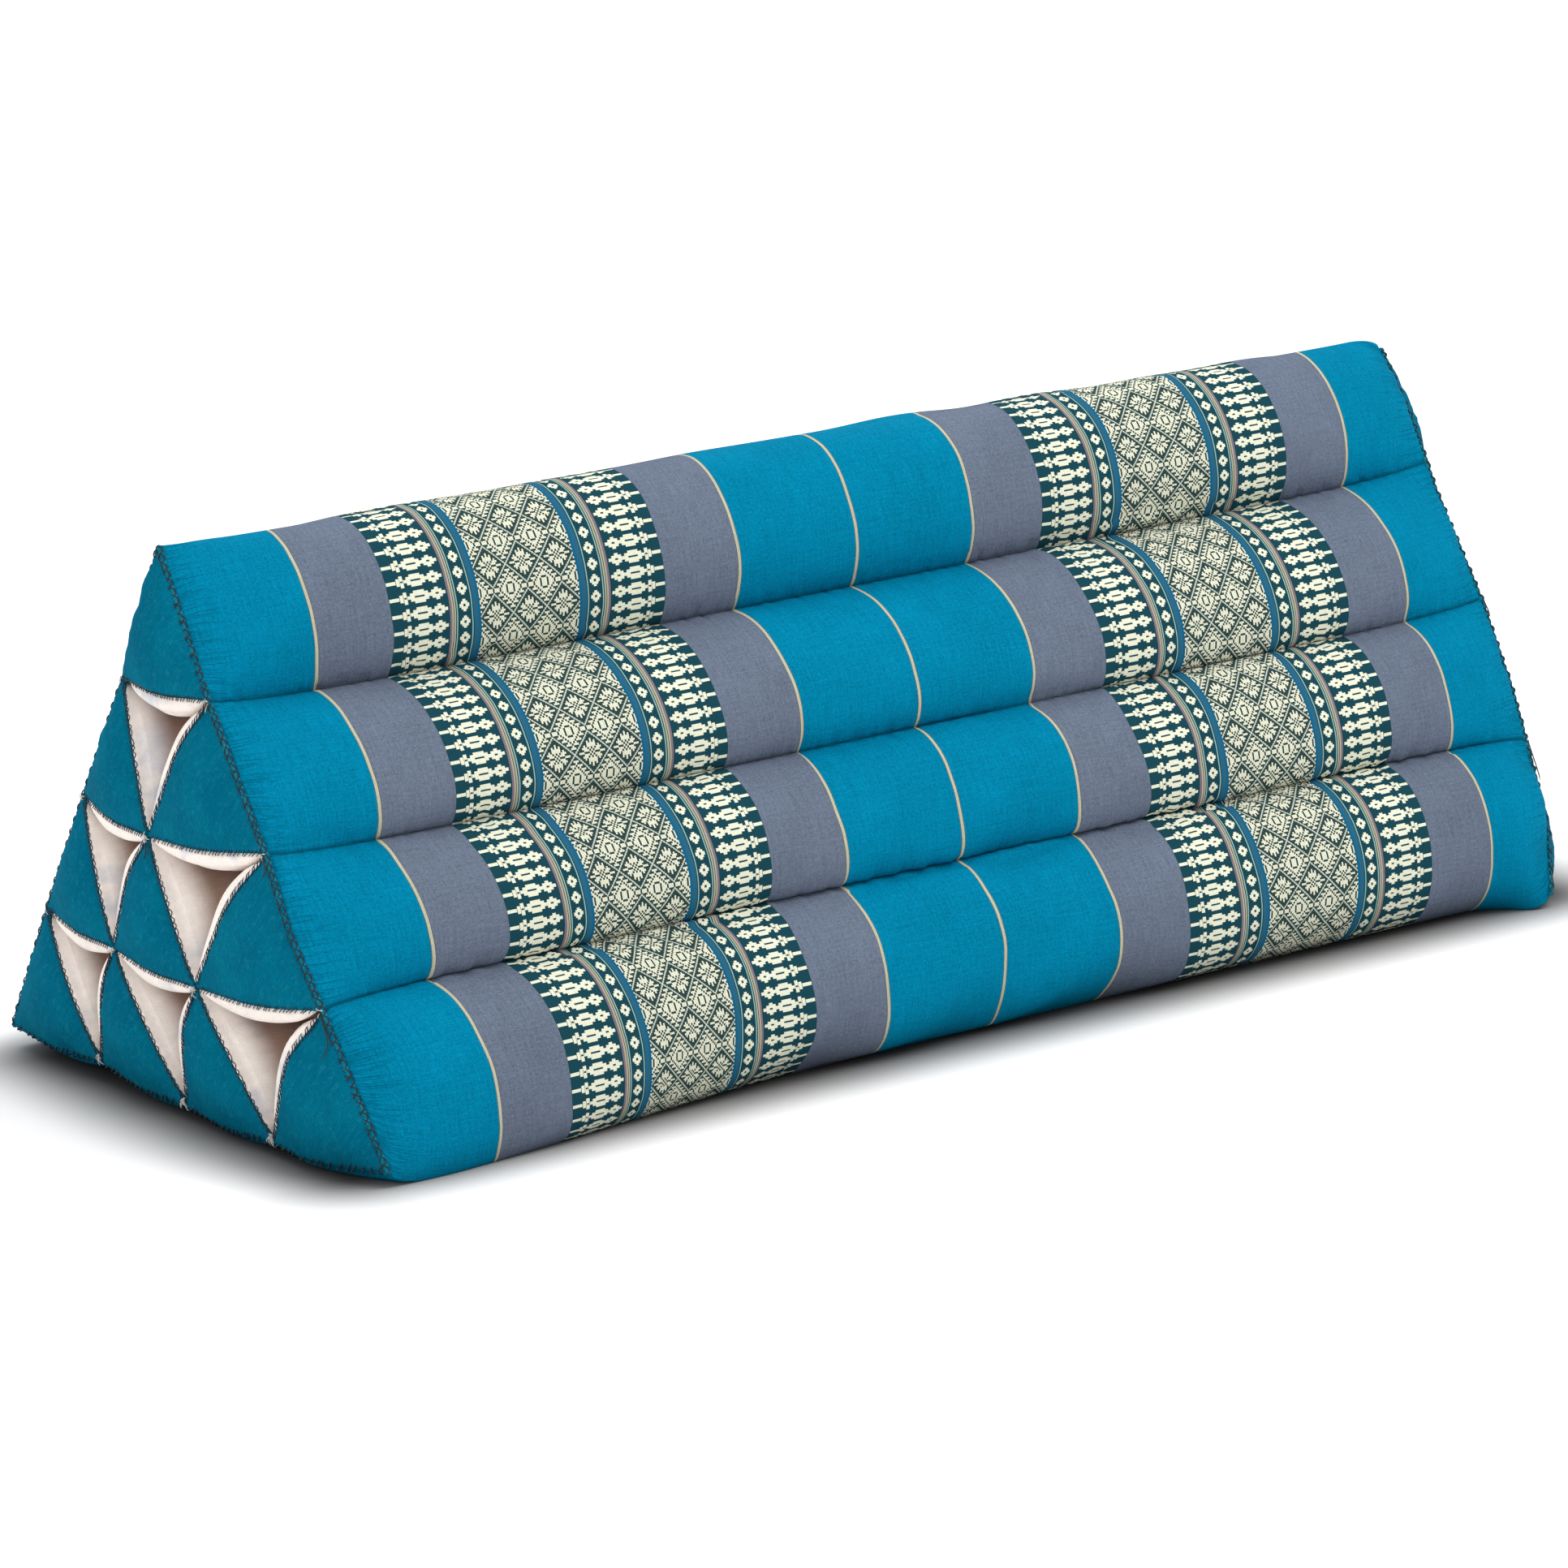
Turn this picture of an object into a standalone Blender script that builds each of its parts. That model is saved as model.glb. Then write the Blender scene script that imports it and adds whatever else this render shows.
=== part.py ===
"""Thai triangle cushion, 81 cm long.

Ten stuffed cotton tubes lie in rows of one, two, three and four. They are sewn together along their
corners, so six three-sided hollows run between them from end to end. A woven cover wraps the stack and is
drawn in at every seam. A crowned cap closes each end of every tube.

X runs along the cushion, the front slope faces -Y and Z is up. The origin lies on the floor, under the
middle of the base.
"""

import bpy
import numpy as np

# The lattice of seams that the tubes hang between
ROWS = 4
HALF_LENGTH = 0.382          # from the middle to the seam that joins the cover to the caps
BASE_WIDTH = 0.330
STACK_HEIGHT = 0.270
BASE_SEAM_HEIGHT = 0.012     # the base seams ride this far above the floor
CORNER_INSET = 0.004         # the two bottom corners are drawn in by this much at the ends

# Cloth, and the clearance between neighbours
CLOTH = 0.002
GAP = 0.0004
WALL_INSET = 0.0001          # a wall stops this far short of the seam's centre line

# Stuffing
WALL_SWELL = 0.013           # swell of a tube's wall into the hollow beside it, at mid length
END_DOME = 0.0105            # the middle of each end stands out by this much
CAP_CROWN = 0.012            # crown of one cap over its own edges
CROWN_SLACK = 0.0006         # the stuffing under a cap stays this much lower than the cap
CROWN_FULLNESS = 0.6         # under 1 for a crown that fills out towards its edges
COVER_END_SWELL = 0.05       # share of the full swell that shows at the end seam
WALL_END_SWELL = 0.30
COVER_GROWTH = 0.110         # distance from the end seam over which the cover swells to its full shape
WALL_GROWTH = 0.065

# Where the drawn-in seams of the front lie at mid length: shift inwards and upwards from the lattice
SEAM_SHIFT = {
    "ridge": (0.0, -0.001),
    "seam 1": (0.0055, -0.0035),
    "seam 2": (-0.0043, 0.0),
    "seam 3": (0.0040, 0.0050),
    "corner": (0.0150, 0.0040),
}

# Arms of the arch that each front channel follows at mid length, as (y, z) from its upper and lower seam
FRONT_ARMS = {
    "channel 1": ((-0.0320, 0.0), (-0.0187, 0.0253)),
    "channel 2": ((-0.0400, 0.0), (-0.0176, 0.0209)),
    "channel 3": ((-0.0340, -0.0033), (-0.0168, 0.0098)),
    "channel 4": ((-0.0395, -0.0108), (-0.0088, 0.0180)),
}
BASE_CORNER_ARM = (0.0090, -0.0180)
BASE_SEAM_ARM = (0.0100, -0.0240)

# The cover's sides in the order of its outline
SIDES = ("front", "base", "back")

# Resolution: steps along one side of a tube, and stations as distances from the end seam
SIDE_STEPS = 6
STATIONS = (0.0, 0.006, 0.020, 0.045, 0.090, 0.180, HALF_LENGTH)

# Finishes: colour and roughness
FINISHES = {
    "cover cloth": ((0.010, 0.220, 0.350), 0.75),
    "inner cotton": ((0.780, 0.740, 0.680), 0.90),
    "cap cotton": ((0.006, 0.160, 0.230), 0.85),
}


def clear_scene():
    """Remove every object of the open scene."""
    for thing in list(bpy.data.objects):
        bpy.data.objects.remove(thing, do_unlink=True)


def make_material(name):
    """Return the Principled material of a finish."""
    colour, roughness = FINISHES[name]
    material = bpy.data.materials.new(name)
    material.use_nodes = True
    shader = material.node_tree.nodes["Principled BSDF"]
    shader.inputs["Base Color"].default_value = (*colour, 1.0)
    shader.inputs["Roughness"].default_value = roughness
    shader.inputs["Metallic"].default_value = 0.0
    return material


def unit(vector):
    """Return the vector at length one."""
    return vector / np.linalg.norm(vector)


def fullness(distance, growth, at_end):
    """Share of the full swell at a distance from the end seam: a quarter ellipse, then level."""
    left = np.clip(1.0 - distance / growth, 0.0, 1.0)
    return at_end + (1.0 - at_end) * np.sqrt(1.0 - left**2)


def seam(row, place, full):
    """Return (y, z) of a seam, counted down from the ridge and from front to back.

    The seams of the two slopes leave the lattice by their shift as the cover fills out. The bottom corners
    start from a small inset at the ends.
    """
    height = BASE_SEAM_HEIGHT + STACK_HEIGHT * (1 - row / ROWS)
    point = np.array([BASE_WIDTH * (place - row / 2) / ROWS, height])
    if place in (0, row):
        inward, upward = (full * shift for shift in list(SEAM_SHIFT.values())[row])
        if row == ROWS:
            inward += (1.0 - full) * CORNER_INSET
        point += (inward if place == 0 else -inward, upward)
    return point


def arch(start, start_arm, end, end_arm, full):
    """Return points between the straight chord and a cubic arch, none of them below the floor."""
    s = np.linspace(0.0, 1.0, SIDE_STEPS + 1)[:, None]
    chord = start + (end - start) * s
    first, second = start + np.array(start_arm), end + np.array(end_arm)
    curve = (1 - s) ** 3 * start + 3 * s * (1 - s) ** 2 * first + 3 * s**2 * (1 - s) * second + s**3 * end
    points = chord + full * (curve - chord)
    points[:, 1] = np.maximum(points[:, 1], 0.0)
    return points


def cover_channel(side, index, full):
    """Return the outer face of one channel of the cover, in the order ridge, front, base, back, ridge."""
    if side == "base":
        start, end = seam(ROWS, index, full), seam(ROWS, index + 1, full)
        start_arm = BASE_CORNER_ARM if index == 0 else BASE_SEAM_ARM
        reach, drop = BASE_CORNER_ARM if index == ROWS - 1 else BASE_SEAM_ARM
        return arch(start, start_arm, end, (-reach, drop), full)
    upper_arm, lower_arm = list(FRONT_ARMS.values())[index]
    front = arch(seam(index, 0, full), upper_arm, seam(index + 1, 0, full), lower_arm, full)
    return front if side == "front" else front[::-1] * (-1.0, 1.0)


def channels_of(side):
    """Return the indices of a side's channels in the order of the outline."""
    return range(ROWS - 1, -1, -1) if side == "back" else range(ROWS)


def inset(outline, depth):
    """Return a section's outline moved inwards along its normals."""
    ahead = np.roll(outline, -1, axis=0) - outline
    ahead /= np.linalg.norm(ahead, axis=1)[:, None]
    along = ahead + np.roll(ahead, 1, axis=0)
    along /= np.linalg.norm(along, axis=1)[:, None]
    return outline + depth * np.stack([-along[:, 1], along[:, 0]], axis=1)


def cover_outline(full, depth=0.0):
    """Return the cover's whole outline, three sides of four channels, at a depth under its outer face."""
    pieces = [cover_channel(side, i, full)[:-1] for side in SIDES for i in channels_of(side)]
    outline = np.concatenate(pieces)
    return inset(outline, depth) if depth else outline


def end_dome(points):
    """Return how far the end stands out at (y, z) points: the product of their three lattice weights."""
    top = np.clip((points[:, 1] - BASE_SEAM_HEIGHT) / STACK_HEIGHT, 0.0, 1.0)
    lean = points[:, 0] / BASE_WIDTH
    front = np.clip((1 - top) / 2 - lean, 0.0, 1.0)
    back = np.clip((1 - top) / 2 + lean, 0.0, 1.0)
    return END_DOME * 27.0 * top * front * back


def place_section(points, share):
    """Return a section's (y, z) points in space, at a share from -1 to 1 of the distance to the ends."""
    x = share * (HALF_LENGTH + end_dome(points))
    return np.column_stack([x, points])


def stations():
    """Yield each station's share of the half length and its distance from the nearer end seam."""
    for distance in STATIONS:
        yield -(1.0 - distance / HALF_LENGTH), distance
    for distance in STATIONS[-2::-1]:
        yield 1.0 - distance / HALF_LENGTH, distance


def tube_seams(row, place, full):
    """Return the three seams that a tube hangs between: apex, front and back."""
    return [seam(*name, full) for name in ((row, place), (row + 1, place), (row + 1, place + 1))]


def outer_sides(row, place):
    """Tell which of a tube's sides, front, bottom and back, lie under the cover."""
    return place == 0, row == ROWS - 1, place == row


def inset_corners(corners, depths):
    """Return a triangle's corners with each side moved inwards by its own depth."""
    normals, levels = [], []
    for side, depth in enumerate(depths):
        along = unit(corners[(side + 1) % 3] - corners[side])
        inward = np.array([-along[1], along[0]])
        normals.append(inward)
        levels.append(inward @ corners[side] + depth)
    pairs = ((2, 0), (0, 1), (1, 2))
    return [np.linalg.solve(np.array([normals[a], normals[b]]), [levels[a], levels[b]]) for a, b in pairs]


def tube_section(row, place, distance):
    """Return a tube's outline, from its apex down the front side, along its bottom and up the back side."""
    cover_full = fullness(distance, COVER_GROWTH, COVER_END_SWELL)
    wall = WALL_SWELL * fullness(distance, WALL_GROWTH, WALL_END_SWELL)
    depths = [CLOTH + GAP if covered else WALL_INSET for covered in outer_sides(row, place)]
    corners = inset_corners(tube_seams(row, place, cover_full), depths)
    outer = cover_outline(cover_full, CLOTH + GAP)
    side_length = ROWS * SIDE_STEPS
    starts = {
        0: row * SIDE_STEPS if place == 0 else None,
        1: side_length + place * SIDE_STEPS if row == ROWS - 1 else None,
        2: 2 * side_length + (ROWS - 1 - row) * SIDE_STEPS if place == row else None,
    }
    s = np.linspace(0.0, 1.0, SIDE_STEPS + 1)[:, None]
    section = []
    for side in range(3):
        start, end = corners[side], corners[(side + 1) % 3]
        if starts[side] is None:
            chord = end - start
            outward = unit(np.array([chord[1], -chord[0]]))
            points = start + s * chord + wall * np.sin(np.pi * s) ** 2 * outward
        else:
            picked = (starts[side] + np.arange(SIDE_STEPS + 1)) % len(outer)
            points = outer[picked]
            points[0] = points[0] if starts[(side + 2) % 3] is not None else start
            points[-1] = points[-1] if starts[(side + 1) % 3] is not None else end
        section.append(points[:-1])
    return np.concatenate(section)


def patch_layout():
    """Return the (i, j) steps of a three-sided patch and its triangles."""
    n = SIDE_STEPS
    steps = [(i, j) for j in range(n + 1) for i in range(n + 1 - j)]
    number = {step: k for k, step in enumerate(steps)}
    triangles = []
    for i, j in steps:
        if i + j < n:
            triangles.append((number[i, j], number[i + 1, j], number[i, j + 1]))
        if i + j < n - 1:
            triangles.append((number[i + 1, j], number[i + 1, j + 1], number[i, j + 1]))
    return steps, triangles


def ring_place(i, j):
    """Return where a step of the patch lies on the outline, or None for an inner one."""
    n = SIDE_STEPS
    if j == 0:
        return i
    if i + j == n:
        return n + j
    if i == 0:
        return 3 * n - j
    return None


def crowned_patch(outline, crown):
    """Fill a section's outline with a patch that stands out by the crown.

    Each side's bow fades across the patch by the product of the two weights that vanish on the other
    sides. Returns the (y, z) points, in the order of patch_layout, and how far each stands out.
    """
    n = SIDE_STEPS
    steps, _ = patch_layout()
    corners = [outline[0], outline[n], outline[2 * n]]
    closed = np.vstack([outline, outline[:1]])
    s = np.linspace(0.0, 1.0, n + 1)
    points, heights = [], []
    for i, j in steps:
        weights = np.array([n - i - j, i, j]) / n
        place = ring_place(i, j)
        if place is not None:
            points.append(closed[place])
            heights.append(0.0)
            continue
        point = sum(w * c for w, c in zip(weights, corners))
        for side in range(3):
            a, b, opposite = weights[side], weights[(side + 1) % 3], weights[(side + 2) % 3]
            along = b + opposite / 2
            bow = closed[side * n:side * n + n + 1] - (
                corners[side] + s[:, None] * (corners[(side + 1) % 3] - corners[side]))
            shift = np.array([np.interp(along, s, bow[:, 0]), np.interp(along, s, bow[:, 1])])
            point = point + shift * a * b / (along * (1 - along))
        points.append(point)
        heights.append(crown * (27.0 * weights.prod()) ** CROWN_FULLNESS)
    return np.array(points), np.array(heights)


def grid_triangles(rows, columns, first=0, wrap=False, flip=False):
    """Return the triangles of a grid of points stored row by row."""
    triangles = []
    for i in range(rows - 1):
        for j in range(columns if wrap else columns - 1):
            following = (j + 1) % columns
            a, b = first + i * columns + j, first + i * columns + following
            c, d = b + columns, a + columns
            triangles += [(a, b, c), (a, c, d)]
    return [t[::-1] for t in triangles] if flip else triangles


def add_body(name, points, triangles, material):
    """Add one closed body as an object of its own."""
    mesh = bpy.data.meshes.new(name)
    mesh.from_pydata(np.asarray(points).tolist(), [], triangles)
    mesh.shade_smooth()
    mesh.set_sharp_from_angle(angle=np.radians(40.0))
    mesh.materials.append(material)
    body = bpy.data.objects.new(name, mesh)
    bpy.context.scene.collection.objects.link(body)
    return body


def make_tube(row, place, material):
    """Make one stuffed tube: a closed skin over all its sections, with a crowned patch at each end."""
    rings = [place_section(tube_section(row, place, distance), share) for share, distance in stations()]
    points = np.concatenate(rings)
    around = 3 * SIDE_STEPS
    triangles = grid_triangles(len(rings), around, wrap=True)
    outline = tube_section(row, place, 0.0)
    steps, patch = patch_layout()
    flat, heights = crowned_patch(outline, CAP_CROWN - CROWN_SLACK)
    for end, ring_start in ((-1.0, 0), (1.0, (len(rings) - 1) * around)):
        number = {}
        for k, (i, j) in enumerate(steps):
            place_on_ring = ring_place(i, j)
            if place_on_ring is None:
                number[k] = len(points)
                new = place_section(flat[k:k + 1], end) + (end * heights[k], 0.0, 0.0)
                points = np.vstack([points, new])
            else:
                number[k] = ring_start + place_on_ring % around
        faces = [tuple(number[k] for k in triangle) for triangle in patch]
        triangles += faces if end > 0 else [face[::-1] for face in faces]
    return add_body(f"tube_{row + 1}_{place + 1}", points, triangles, material)


def make_cover(side, material):
    """Make one side of the cover: a sheet drawn in at its three seams, a hair short of its neighbours."""
    first = SIDES.index(side) * ROWS * SIDE_STEPS
    picked = (first + np.arange(ROWS * SIDE_STEPS + 1)) % (3 * ROWS * SIDE_STEPS)
    outer, inner = [], []
    for share, distance in stations():
        full = fullness(distance, COVER_GROWTH, COVER_END_SWELL)
        for sheet, depth in ((outer, 0.0), (inner, CLOTH)):
            line = cover_outline(full, depth)[picked]
            line[0] += 0.5 * GAP * unit(line[1] - line[0])
            line[-1] += 0.5 * GAP * unit(line[-2] - line[-1])
            sheet.append(np.column_stack([np.full(len(line), share * HALF_LENGTH), line]))
    rows, columns = len(outer), len(picked)
    count = rows * columns
    triangles = grid_triangles(rows, columns)
    triangles += grid_triangles(rows, columns, first=count, flip=True)
    border = list(range(columns))
    border += [i * columns + columns - 1 for i in range(1, rows)]
    border += [(rows - 1) * columns + j for j in range(columns - 2, -1, -1)]
    border += [i * columns for i in range(rows - 2, 0, -1)]
    for a, b in zip(border, border[1:] + border[:1]):
        triangles += [(b, a, a + count), (b, a + count, b + count)]
    return add_body(f"cover_{side}", np.concatenate(outer + inner), triangles, material)


def make_cap(row, place, end, material):
    """Make the cap on one end of a tube: a crowned three-sided sheet that reaches over the cover's edge."""
    wall = WALL_SWELL * WALL_END_SWELL
    outside = outer_sides(row, place)
    depths = [0.0 if covered else WALL_INSET for covered in outside]
    corners = inset_corners(tube_seams(row, place, COVER_END_SWELL), depths)
    s = np.linspace(0.0, 1.0, SIDE_STEPS + 1)[:, None]
    outline = []
    for side in range(3):
        start, end_point = corners[side], corners[(side + 1) % 3]
        chord = end_point - start
        outward = unit(np.array([chord[1], -chord[0]]))
        bow = 0.0 if outside[side] else wall
        outline.append((start + s * chord + bow * np.sin(np.pi * s) ** 2 * outward)[:-1])
    flat, heights = crowned_patch(np.concatenate(outline), CAP_CROWN)
    steps, patch = patch_layout()
    x = HALF_LENGTH + end_dome(flat) + GAP + heights
    inner = np.column_stack([end * x, flat])
    outer = inner + (end * CLOTH, 0.0, 0.0)
    count = len(flat)
    number = {ring_place(i, j): k for k, (i, j) in enumerate(steps) if ring_place(i, j) is not None}
    border = [number[k] for k in range(3 * SIDE_STEPS)]
    triangles = list(patch) + [tuple(count + k for k in triangle[::-1]) for triangle in patch]
    for a, b in zip(border, border[1:] + border[:1]):
        triangles += [(b, a, a + count), (b, a + count, b + count)]
    if end < 0:
        triangles = [triangle[::-1] for triangle in triangles]
    side_name = "right" if end > 0 else "left"
    return add_body(f"cap_{side_name}_{row + 1}_{place + 1}", np.vstack([outer, inner]), triangles, material)


def main():
    """Build the whole cushion."""
    clear_scene()
    cover = make_material("cover cloth")
    cotton = make_material("inner cotton")
    cap = make_material("cap cotton")
    for side in SIDES:
        make_cover(side, cover)
    for row in range(ROWS):
        for place in range(row + 1):
            make_tube(row, place, cotton)
            for end in (-1.0, 1.0):
                make_cap(row, place, end, cap)


main()
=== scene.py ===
"""Thai triangle cushion: the woven cover, stuffed tubes, end caps and hand sewing, dressed for a render.

X runs along the cushion, the front slope faces -Y and Z is up. All lengths are metres, but for the woven
pattern, which is laid out in millimetres of cloth.
"""

import logging
import math
from dataclasses import dataclass
from enum import Enum
from typing import Callable, Iterable, Sequence

import bmesh
import bpy
import numpy as np
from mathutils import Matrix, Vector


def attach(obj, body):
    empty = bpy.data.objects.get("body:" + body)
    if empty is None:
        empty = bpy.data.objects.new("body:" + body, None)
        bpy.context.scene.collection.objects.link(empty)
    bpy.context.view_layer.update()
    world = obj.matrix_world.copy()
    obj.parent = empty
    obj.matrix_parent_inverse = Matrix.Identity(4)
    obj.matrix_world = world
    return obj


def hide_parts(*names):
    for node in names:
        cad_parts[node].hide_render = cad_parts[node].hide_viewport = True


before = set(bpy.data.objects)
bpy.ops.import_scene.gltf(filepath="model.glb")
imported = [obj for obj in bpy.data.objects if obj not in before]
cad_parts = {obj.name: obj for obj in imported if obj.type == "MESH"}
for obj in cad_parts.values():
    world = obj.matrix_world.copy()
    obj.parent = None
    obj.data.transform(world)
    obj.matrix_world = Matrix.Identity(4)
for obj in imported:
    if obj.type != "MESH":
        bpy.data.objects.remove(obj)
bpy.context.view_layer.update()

log = logging.getLogger("cushion")
BODY = "root"
MILLIMETRES = 1000.0
Colour = tuple[float, float, float]
Place = tuple[float, float, float]


class Slot(Enum):
    """Finishes that the record names."""

    COVER = "cover cloth"
    COTTON = "inner cotton"
    CAP = "cap cotton"


class End(Enum):
    """Ends of the cushion, with the sign of X there."""

    LEFT = -1
    RIGHT = 1


# Shared numpy helpers


def unit(vectors: np.ndarray) -> np.ndarray:
    """Return vectors at length one."""
    return vectors / np.maximum(np.linalg.norm(vectors, axis=-1, keepdims=True), 1e-12)


def ripple(places: np.ndarray, wavelength: float, seed: int, waves: int = 7) -> np.ndarray:
    """Smooth noise along a line, about -1 to 1: a sum of sines round one wavelength with seeded phases.

    Args:
        places: Where to read the noise, in metres.
        wavelength: Typical distance between two swells, in metres.
        seed: Picks the phases.
        waves: How many sines are summed.
    """
    random = np.random.default_rng(seed)
    rates = 2 * np.pi / wavelength * random.uniform(0.55, 1.6, waves)
    phases = random.uniform(0, 2 * np.pi, waves)
    total = sum(np.sin(rate * places + phase) for rate, phase in zip(rates, phases))
    return total / math.sqrt(waves)


def grid_faces(rows: int, columns: int, wrap: bool = False, first: int = 0) -> np.ndarray:
    """Return the quads of a grid of points stored row by row.

    Args:
        rows: Rows of points.
        columns: Points in each row.
        wrap: Whether the last column meets the first.
        first: Number of the grid's first point.
    """
    i = np.arange(rows - 1)[:, None]
    j = np.arange(columns if wrap else columns - 1)[None, :]
    following = (j + 1) % columns
    corners = (i * columns + j, i * columns + following, (i + 1) * columns + following, (i + 1) * columns + j)
    return first + np.stack(corners, axis=-1).reshape(-1, 4)


def grid_normals(points: np.ndarray, wrap: bool) -> np.ndarray:
    """Return unit normals of a grid: the cross product of its two central differences."""
    along = np.gradient(points, axis=0)
    if wrap:
        across = np.roll(points, -1, axis=1) - np.roll(points, 1, axis=1)
    else:
        across = np.gradient(points, axis=1)
    return unit(np.cross(along, across))


def add_object(name: str, data: bpy.types.ID) -> bpy.types.Object:
    """Make an object on its data and link it to the scene."""
    made = bpy.data.objects.new(name, data)
    bpy.context.scene.collection.objects.link(made)
    return made


def make_piece(name: str, points: np.ndarray, faces: Sequence[np.ndarray], finish: bpy.types.Material,
               slot: Slot, uv: np.ndarray | None = None, **marks: np.ndarray) -> bpy.types.Object:
    """Make a smooth mesh piece at the origin that rides on the cushion.

    Args:
        name: Name of the piece.
        points: Points as an array of (x, y, z).
        faces: Arrays of faces, each with its own number of corners.
        finish: Material of the piece.
        slot: Not used.
        uv: Cloth coordinates of each point, in metres.
        **marks: Numbers of each point that the material reads by their name.
    """
    mesh = bpy.data.meshes.new(name)
    mesh.from_pydata(points.tolist(), [], [face for group in faces for face in group.tolist()])
    mesh.polygons.foreach_set("use_smooth", np.ones(len(mesh.polygons), dtype=bool))
    if uv is not None:
        corners = np.empty(len(mesh.loops), dtype=np.int32)
        mesh.loops.foreach_get("vertex_index", corners)
        layer = mesh.uv_layers.new(name="cloth")
        layer.data.foreach_set("uv", uv[corners].astype(np.float32).ravel())
    for mark, values in marks.items():
        layer = mesh.attributes.new(mark, "FLOAT", "POINT")
        layer.data.foreach_set("value", values.astype(np.float32).ravel())
    mesh.materials.append(finish)
    mesh.update()
    piece = add_object(name, mesh)
    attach(piece, BODY)
    log.info("%s: %d faces", name, len(mesh.polygons))
    return piece


# Shape of the stack


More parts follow.
